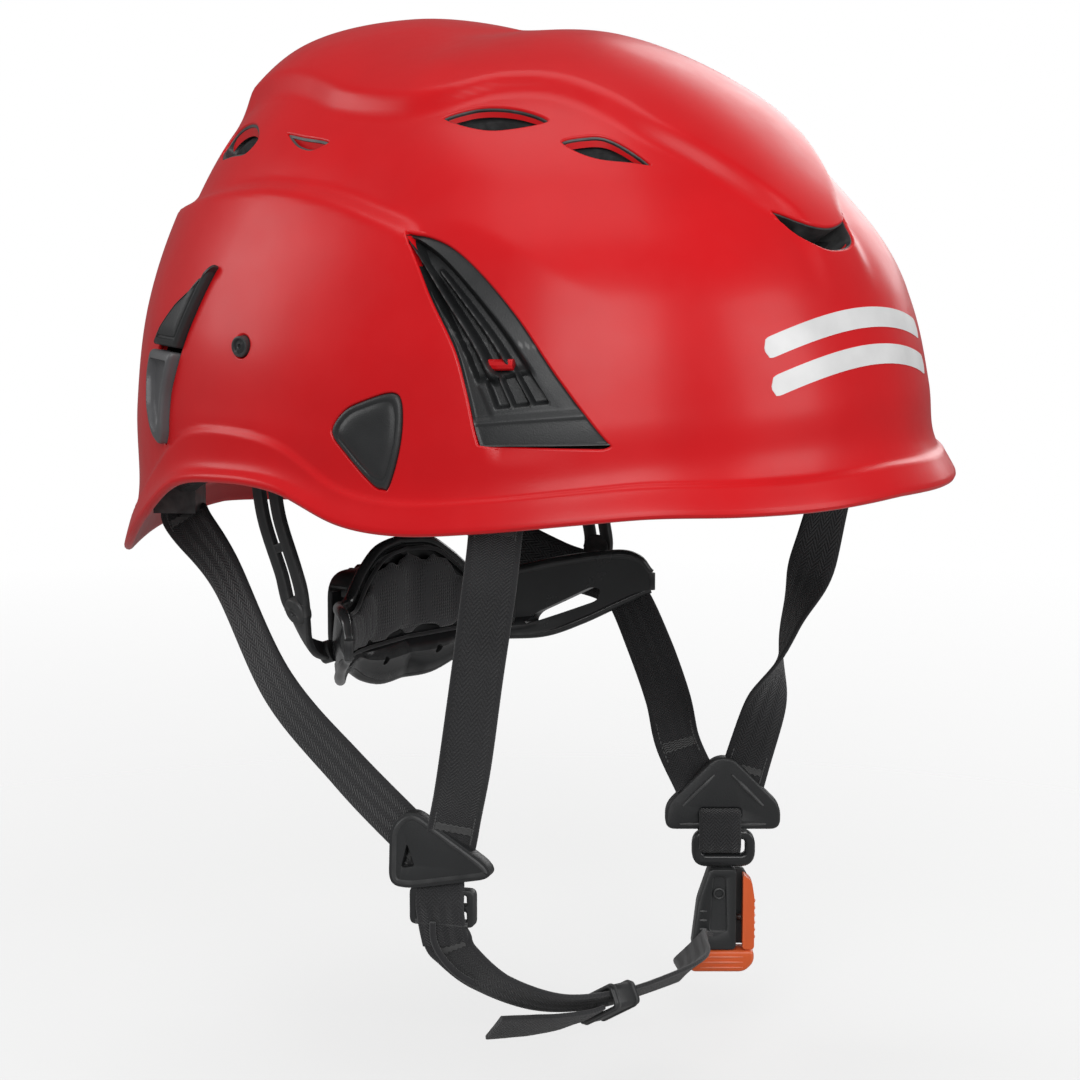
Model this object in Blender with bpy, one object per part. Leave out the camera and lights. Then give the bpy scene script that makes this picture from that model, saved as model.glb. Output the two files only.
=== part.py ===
"""Climbing helmet: moulded shell, impact liner, nape cradle with a wheel adjuster, and a chin strap.

Frame: origin at the middle of the head opening, +Z up, the face looks along -Y, +X is the wearer's left.
Dimensions are in millimetres, and MM scales them to metres when a mesh is made.
"""
import math
from math import cos, pi, radians, sin

import bmesh
import bpy
from mathutils import Matrix, Vector

MM = 0.001
GAP = 0.35              # clearance between touching pieces
SIDES = {"right": -1, "left": 1}
ORIGIN = Vector((0, 0, 0))
# Directions across, up and out of a view: from above, and from the front.
TOP_AXES = (Vector((1, 0, 0)), Vector((0, 1, 0)), Vector((0, 0, 1)))
FRONT_AXES = (Vector((1, 0, 0)), Vector((0, 0, 1)), Vector((0, -1, 0)))

# Shell: radius and height down each profile, from the crown to the rim.
CROWN_Z = 151
FRONT = [(0, CROWN_Z), (32, 150), (64, 138), (93, 119), (116, 94), (129, 66), (135, 42), (137, 26), (144, 13)]
SIDE = [(0, CROWN_Z), (31, 147), (58, 136), (82, 115), (99, 87), (109, 58), (113, 33), (114, 17), (117, 10)]
REAR = [(0, CROWN_Z), (42, 155), (80, 147), (102, 124), (117, 96), (128, 64), (132, 30), (131, 0), (136, -18)]
# Height of the rim at angles from the front, in degrees.
RIM = [(0, 13), (15, 12), (25, 12), (36, 12.3), (45, 10.5), (58, 7), (70, 4.8), (80, 6.5), (92, 14.5),
       (105, 15), (116, 11), (128, -3), (140, -16), (150, -19), (165, -16), (180, -13)]
PLAN_POWER = 2.15       # roundness of the plan outline; 2 is an ellipse
SHELL_WALL = 3.0
LINER_GAP = 1.2
LINER_WALL = 14.5
SHELL_AROUND = 48
SHELL_DOWN = 13
LINER_DOWN = 11
LINER_END = LINER_DOWN / SHELL_DOWN      # how far down the shell the liner reaches

# Raised crown band: half-width along its length, and how far it stands over its surroundings.
CREST_WIDTH = [(-116, 12), (-107, 20), (-99, 26), (-91, 31), (-79, 37), (-64, 40), (-47, 44), (-32, 52),
               (-20, 61), (-5, 66), (22, 64), (42, 57), (62, 50), (85, 42)]
CREST_STEP = 4.0
# Upper edge of the swollen side: height along the shell.
SWELL_TOP = [(-66, 20), (-62, 34), (-59, 46), (-53, 58), (-43, 73), (-36, 83), (-28, 92), (-16, 97),
             (6, 102), (28, 104), (55, 102), (87, 96), (110, 94), (140, 93)]

# Side window and its grille, seen from the side as (y, z).
WINDOW = [(-28, 92), (-43, 88), (-57, 79), (-71, 66), (-83, 51), (-92, 39), (-98, 31), (-96, 29.5), (-83, 29),
          (-68, 29), (-63, 31), (-61, 36), (-58, 46), (-53, 58), (-43, 72), (-36, 82)]
LOUVRES = [[(-44, 80), (-50, 77), (-64, 55), (-60, 51)],
           [(-56, 74), (-62, 70), (-73, 55), (-69, 52)],
           [(-74, 60), (-78, 55), (-84, 46), (-79, 45)]]
PLUG = [(-15, 32), (-19, 39), (-27, 43), (-36, 45.5), (-40, 42), (-40.5, 30), (-37, 17), (-34, 15.5),
        (-30, 17),
        (-21, 25)]
RIVET_YZ = (24, 55)
RIVET_RADIUS = 4.2
# Lamp clip, seen square on from the rear side as (along, z); the lower part is the sprung lever.
CLIP_DIRECTION = 128    # degrees from the front
CLIP_PLANE = 116
LEVER_PIVOT = (118.5, 18)      # distance out and height of the lever's bending line
LEVER_MIDDLE = -7
INSERT_BACK = -2.8             # how far an insert reaches into the wall of the shell
CLIP_BASE = [(-27, 79), (-22, 73), (-12, 66), (-3, 57), (0, 52.5), (-19, 52.5), (-22, 61)]
CLIP_LEVER = [(-18.5, 50.5), (0.5, 50.5), (1.5, 43), (-1, 32), (-7, 23), (-13, 20), (-15.5, 25), (-15.5, 38)]
# Vents through the top, seen from above as (x, y) on the +X side.
TOP_VENTS = [[(66, -20), (61, -26), (57.5, -33), (54.5, -43), (53.7, -52.5), (59, -49), (65, -40), (67, -30)],
             [(58, -59), (52, -63.5), (47.5, -68.5), (45, -76), (44, -83.5), (49, -79), (55, -72), (58, -65)],
             [(69.5, 40.5), (72, 30), (74.5, 17.5), (76.5, 20), (77, 25), (74.5, 33)],
             [(54, 83), (51.5, 79), (56, 68), (61, 60), (67.5, 54), (70, 58), (66, 68), (61, 77)]]
# Scoop vent at the front end of the crown band, seen from the front as (x, z).
FRONT_VENT = [(-19, 97), (-10, 93.5), (0, 92), (10, 93.5), (19, 97), (15, 89), (8, 85), (0, 84), (-8, 85),
              (-15, 89)]

# Harness
WEBBING = 16
WEBBING_THICK = 1.6
# Strap anchors: degrees from the front, distance from the middle, height, and size across, outward and up.
ANCHORS = {"front": (56, 113.9, 12, (20, 5, 11)), "rear": (146, 114.5, -0.5, (20, 14, 12))}
HEADBAND_HALF = (80, 101)        # half width and front reach of the headband
HEADBAND_Z = (9, 33)
CROWN_PAD_END = 0.25             # how far down the shell the crown pad reaches
CROWN_PAD_GAP = 1.6
CROWN_PAD_THICK = 5
CRADLE_PLAN = [(0, 52), (32, 46.5), (57, 29), (71, 16), (80, 5)]
CRADLE_WALL = 2.6
# Heights of the cradle's edges from its middle (0) to its wing tips (1), and its wing window as (y, z).
CRADLE_TOP = [(0, -21), (0.1, -22.5), (0.17, -28), (0.25, -36), (0.32, -37), (0.5, -33.5), (0.8, -31.5),
              (0.95, -33), (1, -36)]
CRADLE_BOTTOM = [(0, -67), (0.1, -67), (0.18, -64), (0.27, -59), (0.45, -58.5), (0.6, -54.5), (0.8, -48.5),
                 (1, -44)]
CRADLE_WINDOW = [(35.5, -55), (34.5, -51.5), (21, -42.5), (18.5, -43.5), (19.5, -47.5)]
NAPE_PAD_HALF = 0.36             # share of the cradle's half length the pad covers
NAPE_PAD_THICK = 3.2
NAPE_PAD_LOW = -54
SWING_AXIS = (38, 6)             # y, z of the hanger pins
HANGER_ROUTE = [(84, 38, 14), (83, 36, -2), (81, 30.5, -20), (79, 28.5, -33), (68, 34, -44.5),
                (52, 39.6, -50.5)]
HANGER_SIDES = [(0, 1, 0), (0, 0.95, 0.2), (0, 0.8, 0.6), (0, 0.3, 1)]
HANGER_WIDTH = 11
HANGER_THICK = 2.4
KNOB_CENTRE = (0, 70, -45)
KNOB_RADIUS = 14
PINION_RADIUS = 6
PINION_TEETH = 12
TOOTH_DEPTH = 1.4
RACK_TEETH = 9
RACK_FIRST = -3                  # tooth spaces from the pinion to the first rack tooth
RACK_BACK = 9.2                  # height of a rack's plain edge from the pinion

DIVIDERS = {"right": (-77, -27, -101), "left": (74.5, -30, -112)}
RIGHT_ACROSS = Vector((0.38, -0.925, 0)).normalized()       # across the right divider, towards the face
RIGHT_FACE = Vector((-0.925, -0.38, 0)).normalized()        # out of its visible face
LADDER_LOCK = (-76, -28, -118.5)
KEEPER = (-20, -50, -159.2)
KEEPER_ALONG = (0.98, -0.16, -0.05)
KEEPER_ACROSS = (0, -0.86, 0.5)
BUCKLE = (74, -32, -155)
BUCKLE_RIGHT = Vector((0.616, -0.788, 0)).normalized()      # across the buckle
BUCKLE_FACE = Vector((-0.788, -0.616, 0)).normalized()      # out of the buckle's face
# Each strap: the route through its points, its width direction along the way, and its number of steps.
STRAPS = {
    "front_strap_right": ([(-95, -64, 4.5), (-91.5, -59, -12), (-86.5, -50, -42), (-82, -42, -72),
                           (-78.5, -35, -91)],
                          [(0.56, -0.83, 0), (0.6, -0.8, 0), (0.5, -0.86, 0)], 14),
    "rear_strap_right": ([(-63, 91.5, -11), (-65, 73.5, -26), (-74.5, 42, -58), (-75.5, 11.5, -81),
                          (-78.5, -17, -97)],
                         [(0.75, 0.4, 0.35), (0, -0.6, 0.8), (0, -0.65, 0.75), (0.1, -0.6, 0.78)], 16),
    "front_strap_left": ([(94, -63, 4.5), (91, -55, -30), (88, -48, -52), (85, -42, -76), (81, -36, -100)],
                         [(0.8, -0.5, 0), (0.72, -0.5, 0.1), (-0.6, -0.8, 0), (-0.66, 0.72, 0),
                          (-0.62, 0.79, 0)], 24),
    "rear_strap_left_upper": ([(63, 91.5, -11), (66, 70, -24), (79, 46, -38), (85.5, 30, -43)],
                              [(-0.75, 0.4, 0.35), (-0.1, -0.4, 0.9), (0.05, 0.15, 0.98)], 14),
    "rear_strap_left_lower": ([(82.5, 17.5, -47.5), (80.5, 6, -64), (76.5, -5, -81), (70.5, -13.5, -94.5)],
                              [(0.5, -0.75, 0.3), (0.5, -0.8, -0.1), (0.55, -0.75, -0.2)], 12),
    "chin_strap": ([(-75.5, -28.5, -128), (-73, -30.5, -134), (-62, -36, -145), (-43, -44, -154.5),
                    (-20, -50, -158), (4, -52, -158.5), (28, -49, -159.5), (48, -41, -162.5),
                    (60.5, -33.5, -167)],
                   [(0.38, -0.92, 0), (0.3, -0.92, 0.1), (0, -0.86, 0.5), (0, -0.86, 0.5), (0, -0.8, 0.6),
                    (0.3, -0.45, 0.85)], 36),
    "chin_strap_tail": ([(-28, -50, -161), (-36, -48, -161.4), (-45, -44.5, -161.2), (-53, -40.5, -160.6),
                         (-61, -36, -160)],
                        [(0.1, -0.88, 0.45), (0.2, -0.95, 0.25), (0.35, -0.93, 0)], 10),
}
ELASTIC = [(-80, -27, -123), (-79.5, -27, -129), (-76.5, -28, -135), (-72.5, -30.5, -140.5),
           (-68.5, -33.5, -144)]


# ---------------------------------------------------------------- materials and objects
def material(name, colour, roughness, metallic=0.0):
    mat = bpy.data.materials.new(name)
    mat.use_nodes = True
    shader = mat.node_tree.nodes["Principled BSDF"]
    shader.inputs["Base Color"].default_value = (*colour, 1)
    shader.inputs["Roughness"].default_value = roughness
    shader.inputs["Metallic"].default_value = metallic
    return mat


def add_object(name, bm, mat, cutter=False):
    """Turn a bmesh in millimetres into an object in metres."""
    bmesh.ops.recalc_face_normals(bm, faces=bm.faces)
    bmesh.ops.scale(bm, vec=(MM, MM, MM), verts=bm.verts)
    mesh = bpy.data.meshes.new(name)
    bm.to_mesh(mesh)
    bm.free()
    obj = bpy.data.objects.new(name, mesh)
    bpy.context.scene.collection.objects.link(obj)
    if cutter:
        obj.hide_render = True
        obj.display_type = "WIRE"
    else:
        mesh.materials.append(mat)
        mesh.shade_smooth()
        mesh.set_sharp_from_angle(angle=radians(35))
    return obj


def boolean(obj, cutter, operation="DIFFERENCE"):
    mod = obj.modifiers.new("cut", "BOOLEAN")
    mod.operation = operation
    mod.solver = "EXACT"
    mod.object = cutter


def set_origin(obj, point):
    """Move an object's origin to a point given in millimetres, leaving its mesh where it is."""
    target = Vector(point) * MM
    obj.data.transform(Matrix.Translation(-target))
    obj.location = target


# ---------------------------------------------------------------- curves
def catmull(points, t):
    """Point on a smooth curve through equally spaced knots, with t from 0 to 1."""
    spans = len(points) - 1
    i = min(int(t * spans), spans - 1)
    f = t * spans - i
    p1, p2 = Vector(points[i]), Vector(points[i + 1])
    p0 = Vector(points[i - 1]) if i > 0 else p1 * 2 - p2
    p3 = Vector(points[i + 2]) if i + 2 <= spans else p2 * 2 - p1
    m1, m2 = (p2 - p0) / 2, (p3 - p1) / 2
    f2, f3 = f * f, f * f * f
    return p1 * (2 * f3 - 3 * f2 + 1) + m1 * (f3 - 2 * f2 + f) + p2 * (3 * f2 - 2 * f3) + m2 * (f3 - f2)


def table(pairs, x):
    """Value at x of a smooth curve through (x, value) pairs, held level past both ends."""
    if x <= pairs[0][0]:
        return pairs[0][1]
    if x >= pairs[-1][0]:
        return pairs[-1][1]
    i = max(k for k in range(len(pairs) - 1) if pairs[k][0] <= x)
    (x1, y1), (x2, y2) = pairs[i], pairs[i + 1]
    before = pairs[i - 1] if i > 0 else (x1 - (x2 - x1), y1)
    after = pairs[i + 2] if i + 2 < len(pairs) else (x2 + (x2 - x1), y2)
    m1 = (y2 - before[1]) / (x2 - before[0]) * (x2 - x1)
    m2 = (after[1] - y1) / (after[0] - x1) * (x2 - x1)
    f = (x - x1) / (x2 - x1)
    f2, f3 = f * f, f * f * f
    return y1 * (2 * f3 - 3 * f2 + 1) + m1 * (f3 - 2 * f2 + f) + y2 * (3 * f2 - 2 * f3) + m2 * (f3 - f2)


def smoothstep(low, high, x):
    f = min(max((x - low) / (high - low), 0), 1)
    return f * f * (3 - 2 * f)


# ---------------------------------------------------------------- the shell's surface
def plain_surface(theta, t):
    """Point on the shell before its crown band and swollen sides; theta from the front, t crown to rim."""
    c, s = cos(theta), sin(theta)
    end = catmull(FRONT if c > 0 else REAR, t)
    side = catmull(SIDE, t)
    a, b = max(end[0], 1e-6), max(side[0], 1e-6)
    radius = ((abs(c) / a) ** PLAN_POWER + (abs(s) / b) ** PLAN_POWER) ** (-1 / PLAN_POWER)
    along = c * c
    z = end[1] * along + side[1] * (1 - along)
    edge = (FRONT if c > 0 else REAR)[-1][1] * along + SIDE[-1][1] * (1 - along)
    wanted = table(RIM, math.degrees(math.acos(max(-1, min(1, c)))))
    z += (wanted - edge) * max((t - 0.55) / 0.45, 0) ** 2
    return Vector((radius * s, -radius * c, z))


def normal_of(surface, theta, t):
    t = min(max(t, 0.01), 0.99)
    across = surface(theta + 1e-3, t) - surface(theta - 1e-3, t)
    down = surface(theta, t + 1e-3) - surface(theta, t - 1e-3)
    return down.cross(across).normalized()


def crest_amount(p):
    half = table(CREST_WIDTH, p.y)
    inside = 1 - smoothstep(half - 2, half + 5, abs(p.x))
    return inside * (1 - smoothstep(80, 92, p.y))


def swell_amount(p):
    return 1 - smoothstep(table(SWELL_TOP, p.y) - 3, table(SWELL_TOP, p.y) + 3, p.z)


def recess_depth(p):
    """How far the surface lies below its full form, between the crown band and the swollen sides."""
    fade = smoothstep(70, 108, p.z) if p.y < -28 else smoothstep(60, 95, p.z)
    behind_window = smoothstep(-95, -40, p.y) * (1 - smoothstep(-5, 15, p.y))
    depth = max(CREST_STEP * fade, 3.0 * behind_window * smoothstep(24, 34, p.z))
    return depth * (1 - crest_amount(p)) * (1 - swell_amount(p))


def shell_surface(theta, t):
    p = plain_surface(theta, t)
    return p - normal_of(plain_surface, theta, t) * recess_depth(p)


def on_shell(theta_deg, t, offset=0.0, surface=shell_surface):
    theta = radians(theta_deg)
    return surface(theta, t) + normal_of(plain_surface, theta, t) * offset


# ---------------------------------------------------------------- solids
def cap_solid(name, mat, surface, down, t_end, outer, inner):
    """Closed dome between two offsets of a surface."""
    around = SHELL_AROUND
    bm = bmesh.new()
    layers = []
    for offset in (outer, inner):
        top = bm.verts.new((0, 0, CROWN_Z + offset))
        rings = []
        for j in range(1, down + 1):
            t = t_end * j / down
            points = [on_shell(360 * i / around, t, offset, surface) for i in range(around)]
            rings.append([bm.verts.new(p) for p in points])
        for i in range(around):
            bm.faces.new((top, rings[0][i], rings[0][(i + 1) % around]))
            for upper, lower in zip(rings, rings[1:]):
                n = (i + 1) % around
                bm.faces.new((upper[i], lower[i], lower[n], upper[n]))
        layers.append(rings[-1])
    for i in range(around):
        n = (i + 1) % around
        bm.faces.new((layers[0][i], layers[1][i], layers[1][n], layers[0][n]))
    return add_object(name, bm, mat)


def surface_block(name, mat, theta_range, t_range, outer, inner, steps, side):
    """Closed block of the shell's surface between two offsets."""
    bm = bmesh.new()
    nu, nv = steps
    grids = []
    for offset in (outer, inner):
        grid = []
        for i in range(nu + 1):
            theta = theta_range[0] + (theta_range[1] - theta_range[0]) * i / nu
            grid.append([bm.verts.new(on_shell(side * theta, t_range[0] + (t_range[1] - t_range[0]) * j / nv,
                                               offset)) for j in range(nv + 1)])
        grids.append(grid)
        for i in range(nu):
            for j in range(nv):
                bm.faces.new((grid[i][j], grid[i + 1][j], grid[i + 1][j + 1], grid[i][j + 1]))
    rim = [(i, 0) for i in range(nu)] + [(nu, j) for j in range(nv)]
    rim += [(i, nv) for i in range(nu, 0, -1)] + [(0, j) for j in range(nv, 0, -1)]
    for (i, j), (k, l) in zip(rim, rim[1:] + rim[:1]):
        bm.faces.new((grids[0][i][j], grids[0][k][l], grids[1][k][l], grids[1][i][j]))
    return add_object(name, bm, mat)


def inset_outline(points, distance):
    """Move each point of a closed outline inwards along its bisector."""
    count = len(points)
    area = sum(points[i][0] * points[(i + 1) % count][1] - points[(i + 1) % count][0] * points[i][1]
               for i in range(count))
    turn = 1 if area > 0 else -1
    result = []
    for i in range(count):
        before, here, after = (Vector(points[k % count]) for k in (i - 1, i, i + 1))
        e1, e2 = (here - before).normalized(), (after - here).normalized()
        inward = Vector((-e1.y - e2.y, e1.x + e2.x)) * turn
        inward.normalize()
        sharp = max(abs(inward.dot(Vector((-e1.y, e1.x)))), 0.35)
        result.append(tuple(here + inward * distance / sharp))
    return result


def prism(bm, outline, origin, u, v, w, near, far):
    """Extrude an outline in the plane (u, v) at origin along w from near to far."""
    rows = []
    for depth in (near, far):
        rows.append([bm.verts.new(origin + u * a + v * b + w * depth) for a, b in outline])
    bm.faces.new(rows[0])
    bm.faces.new(list(reversed(rows[1])))
    count = len(outline)
    for i in range(count):
        n = (i + 1) % count
        bm.faces.new((rows[0][i], rows[0][n], rows[1][n], rows[1][i]))


def box(bm, centre, size, u=Vector((1, 0, 0)), v=Vector((0, 1, 0)), w=Vector((0, 0, 1))):
    half = [s / 2 for s in size]
    outline = [(-half[0], -half[1]), (half[0], -half[1]), (half[0], half[1]), (-half[0], half[1])]
    prism(bm, outline, Vector(centre), u, v, w, -half[2], half[2])


def circle(radius, count, phase=0.0):
    return [(radius * cos(2 * pi * k / count + phase), radius * sin(2 * pi * k / count + phase))
            for k in range(count)]


def rounded_outline(points, radius, steps=3):
    """Polygon with each corner replaced by an arc-like curve."""
    result = []
    count = len(points)
    for i in range(count):
        before, here, after = (Vector(points[k % count]) for k in (i - 1, i, i + 1))
        start = here + (before - here).normalized() * radius
        end = here + (after - here).normalized() * radius
        for k in range(steps + 1):
            f = k / steps
            result.append(tuple(start * (1 - f) ** 2 + here * 2 * f * (1 - f) + end * f * f))
    return result


def side_frame(side):
    """Plane seen from the side: u is along Y, v is up, w points out."""
    return Vector((0, 0, 0)), Vector((0, 1, 0)), Vector((0, 0, 1)), Vector((side, 0, 0))


def clip_frame(side):
    """Plane seen square on to the lamp clip."""
    a = radians(CLIP_DIRECTION)
    out = Vector((side * sin(a), -cos(a), 0))
    along = Vector((-side * -cos(a), sin(a), 0))
    return out * CLIP_PLANE, along, Vector((0, 0, 1)), out


def ribbon(name, mat, points, sides, width=WEBBING, thick=WEBBING_THICK, samples=16, end_share=1.0):
    """Flat strap along a smooth curve; sides gives its width direction, and end_share narrows its end."""
    bm = bmesh.new()
    rows = []
    for k in range(samples + 1):
        t = k / samples
        p = catmull(points, t)
        ahead, behind = catmull(points, min(t + 0.01, 1)), catmull(points, max(t - 0.01, 0))
        along = (ahead - behind).normalized()
        across = catmull(sides, t)
        across = (across - along * across.dot(along)).normalized()
        out = along.cross(across)
        half = width / 2 * (1 - (1 - end_share) * smoothstep(0.5, 0.75, t))
        rows.append([bm.verts.new(p + across * (a * half) + out * (b * thick / 2))
                     for a, b in ((-1, -1), (1, -1), (1, 1), (-1, 1))])
    for upper, lower in zip(rows, rows[1:]):
        for i in range(4):
            n = (i + 1) % 4
            bm.faces.new((upper[i], upper[n], lower[n], lower[i]))
    bm.faces.new(rows[0])
    bm.faces.new(list(reversed(rows[-1])))
    return add_object(name, bm, mat)


# ---------------------------------------------------------------- shell group
def shell_openings(mats):
    bm = bmesh.new()
    for side in SIDES.values():
        origin, u, v, w = side_frame(side)
        for outline in (WINDOW, PLUG):
            prism(bm, outline, origin, u, v, w, 70, 130)
        rivet = [(RIVET_YZ[0] + a, RIVET_YZ[1] + b) for a, b in circle(RIVET_RADIUS, 16)]
        prism(bm, rivet, origin, u, v, w, 70, 130)
        origin, u, v, w = clip_frame(side)
        prism(bm, CLIP_BASE, origin, u, v, w, -30, 25)
        prism(bm, CLIP_LEVER, origin, u, v, w, -30, 25)
        for outline in TOP_VENTS:
            flipped = [(side * x, y) for x, y in outline]
            prism(bm, flipped, ORIGIN, *TOP_AXES, 85, 160)
    prism(bm, FRONT_VENT, ORIGIN, *FRONT_AXES, 96, 140)
    return add_object("shell_opening_cutter", bm, mats["shell"], cutter=True)


def liner_openings(mats):
    bm = bmesh.new()
    for side in SIDES.values():
        for outline in TOP_VENTS:
            flipped = [(side * x, y) for x, y in outline]
            prism(bm, flipped, ORIGIN, *TOP_AXES, 60, 160)
    prism(bm, FRONT_VENT, ORIGIN, *FRONT_AXES, 70, 140)
    return add_object("liner_opening_cutter", bm, mats["liner"], cutter=True)


def insert(name, mat, outline, frame, block, offsets, side, holes=()):
    """Piece that fills an opening of the shell and follows its surface."""
    theta_range, t_range, steps = block
    obj = surface_block(name, mat, theta_range, t_range, offsets[0], offsets[1], steps, side)
    origin, u, v, w = frame
    bm = bmesh.new()
    prism(bm, inset_outline(outline, GAP), origin, u, v, w, -60 if origin.length > 1 else 60, 140)
    boolean(obj, add_object(name + "_outline", bm, mat, cutter=True), "INTERSECT")
    if holes:
        bm = bmesh.new()
        for hole in holes:
            prism(bm, hole, origin, u, v, w, 60, 140)
        boolean(obj, add_object(name + "_slots", bm, mat, cutter=True))
    return obj


def build_shell(mats):
    shell = cap_solid("outer_shell", mats["shell"], shell_surface, SHELL_DOWN, 1.0, 0, -SHELL_WALL)
    boolean(shell, shell_openings(mats))
    top = -SHELL_WALL - CREST_STEP - LINER_GAP
    bottom = top - LINER_WALL
    liner = cap_solid("impact_liner", mats["liner"], plain_surface, LINER_DOWN, LINER_END, top, bottom)
    boolean(liner, liner_openings(mats))
    for label, side in SIDES.items():
        window_block = ((34, 82), (0.42, 0.96), (8, 8))
        insert("side_grille_" + label, mats["satin"], WINDOW, side_frame(side), window_block,
               (-0.4, -2.6), side,
               LOUVRES)
        plug_block = ((64, 86), (0.74, 0.99), (4, 4))
        insert("accessory_plug_" + label, mats["satin"], PLUG, side_frame(side), plug_block,
               (0.6, INSERT_BACK), side)
        base_block = ((108, 152), (0.50, 0.90), (6, 5))
        insert("lamp_clip_base_" + label, mats["satin"], CLIP_BASE, clip_frame(side), base_block,
               (2.2, INSERT_BACK), side)
        lever_block = ((112, 152), (0.66, 0.98), (6, 5))
        lever = insert("lamp_clip_lever_" + label, mats["gloss"], CLIP_LEVER, clip_frame(side), lever_block,
                       (2.6, -2.4), side)
        frame = clip_frame(side)
        distance, height = LEVER_PIVOT
        pivot = frame[0] * (distance / CLIP_PLANE) + frame[1] * LEVER_MIDDLE
        set_origin(lever, pivot + Vector((0, 0, height)))
        build_rivet(label, side, mats)


def build_rivet(label, side, mats):
    y, z = RIVET_YZ
    bm = bmesh.new()
    origin, u, v, w = side_frame(side)
    outline = [(y + a, z + b) for a, b in circle(RIVET_RADIUS - GAP, 16)]
    prism(bm, outline, origin, u, v, w, 105.6, 109.4)
    add_object("side_rivet_" + label, bm, mats["satin"])


# ---------------------------------------------------------------- inside the shell
def band(name, mat, half, z_range, wall, span, steps, squash=1.0):
    """Upright strip bent round the front of an ellipse, spanning plus and minus span degrees."""
    bm = bmesh.new()
    rows = []
    for k in range(steps + 1):
        a = radians(-span + 2 * span * k / steps)
        inner = Vector((half[0] * sin(a), -half[1] * cos(a), 0))
        outer = Vector(((half[0] + wall) * sin(a), -(half[1] + wall) * cos(a), 0))
        taper = 1 - (1 - squash) * (abs(a) / radians(span)) ** 2
        middle, reach = sum(z_range) / 2, (z_range[1] - z_range[0]) / 2 * taper
        low, high = Vector((0, 0, middle - reach)), Vector((0, 0, middle + reach))
        rows.append([bm.verts.new(p) for p in (inner + low, outer + low, outer + high, inner + high)])
    for one, two in zip(rows, rows[1:]):
        for i in range(4):
            n = (i + 1) % 4
            bm.faces.new((one[i], one[n], two[n], two[i]))
    bm.faces.new(rows[0])
    bm.faces.new(list(reversed(rows[-1])))
    return add_object(name, bm, mat)


def build_inside(mats):
    band("front_headband", mats["satin"], HEADBAND_HALF, HEADBAND_Z, 1.8, 96, 28, 0.6)
    pad_half = (HEADBAND_HALF[0] - 5 - GAP, HEADBAND_HALF[1] - 5 - GAP)
    band("brow_pad", mats["foam"], pad_half, (HEADBAND_Z[0] + 1, HEADBAND_Z[1] - 1), 5, 60, 18)
    top = -SHELL_WALL - CREST_STEP - LINER_GAP - LINER_WALL - CROWN_PAD_GAP
    cap_solid("crown_pad", mats["foam"], plain_surface, 4, CROWN_PAD_END, top, top - CROWN_PAD_THICK)


def plan_point(x_sign, t):
    p = catmull(CRADLE_PLAN, t)
    return Vector((x_sign * p[0], p[1], 0))


def wall_strip(bm, stations):
    """Closed strip through stations of (inner low, outer low, outer high, inner high)."""
    rows = [[bm.verts.new(p) for p in station] for station in stations]
    for one, two in zip(rows, rows[1:]):
        for i in range(4):
            n = (i + 1) % 4
            bm.faces.new((one[i], one[n], two[n], two[i]))
    bm.faces.new(rows[0])
    bm.faces.new(list(reversed(rows[-1])))


def cradle_station(position, wall, inset, low=None, high=None):
    """Cross-section of the cradle, from -1 at its right tip to 1 at its left, at a distance behind its plan."""
    sign = -1 if position < 0 else 1
    t = abs(position)
    here = plan_point(sign, t)
    step = 0.01
    along = (plan_point(sign, min(t + step, 1)) - plan_point(sign, max(t - step, 0)))
    if t < step:
        along = Vector((1, 0, 0))
    along.normalize()
    out = Vector((-along.y, along.x, 0))
    if out.dot(here - Vector((0, -20, 0))) < 0:
        out = -out
    top = high if high is not None else table(CRADLE_TOP, t)
    bottom = low if low is not None else table(CRADLE_BOTTOM, t)
    inner, outer = here + out * inset, here + out * (inset + wall)
    return (inner + Vector((0, 0, bottom)), outer + Vector((0, 0, bottom)),
            outer + Vector((0, 0, top)), inner + Vector((0, 0, top)))


def build_cradle(mats):
    bm = bmesh.new()
    steps = 36
    wall_strip(bm, [cradle_station(-1 + 2 * k / steps, CRADLE_WALL, 0) for k in range(steps + 1)])
    frame = add_object("cradle_frame", bm, mats["satin"])
    bm = bmesh.new()
    for side in SIDES.values():
        prism(bm, CRADLE_WINDOW, *side_frame(side), 45, 100)
    boolean(frame, add_object("cradle_window_cutter", bm, mats["satin"], cutter=True))
    set_origin(frame, (0, *SWING_AXIS))

    bm = bmesh.new()
    steps = 14
    stations = []
    for k in range(steps + 1):
        position = NAPE_PAD_HALF * (2 * k / steps - 1)
        high = table(CRADLE_TOP, abs(position)) - 2.5
        stations.append(cradle_station(position, NAPE_PAD_THICK, -NAPE_PAD_THICK - GAP, NAPE_PAD_LOW, high))
    wall_strip(bm, stations)
    set_origin(add_object("nape_pad", bm, mats["foam"]), (0, *SWING_AXIS))

    for label, side in SIDES.items():
        route = [(side * x, y, z) for x, y, z in HANGER_ROUTE]
        hanger = ribbon("hanger_" + label, mats["satin"], route, HANGER_SIDES, HANGER_WIDTH, HANGER_THICK,
                        20, 0.55)
        set_origin(hanger, (0, *SWING_AXIS))


def gear_outline(radius, teeth, depth):
    """Toothed circle with a gap centred on each multiple of the tooth angle."""
    points = []
    for k in range(teeth):
        for f, r in ((-0.15, radius - depth), (0.15, radius - depth), (0.32, radius), (0.68, radius)):
            a = 2 * pi * (k + f) / teeth
            points.append((r * cos(a), r * sin(a)))
    return points


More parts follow.
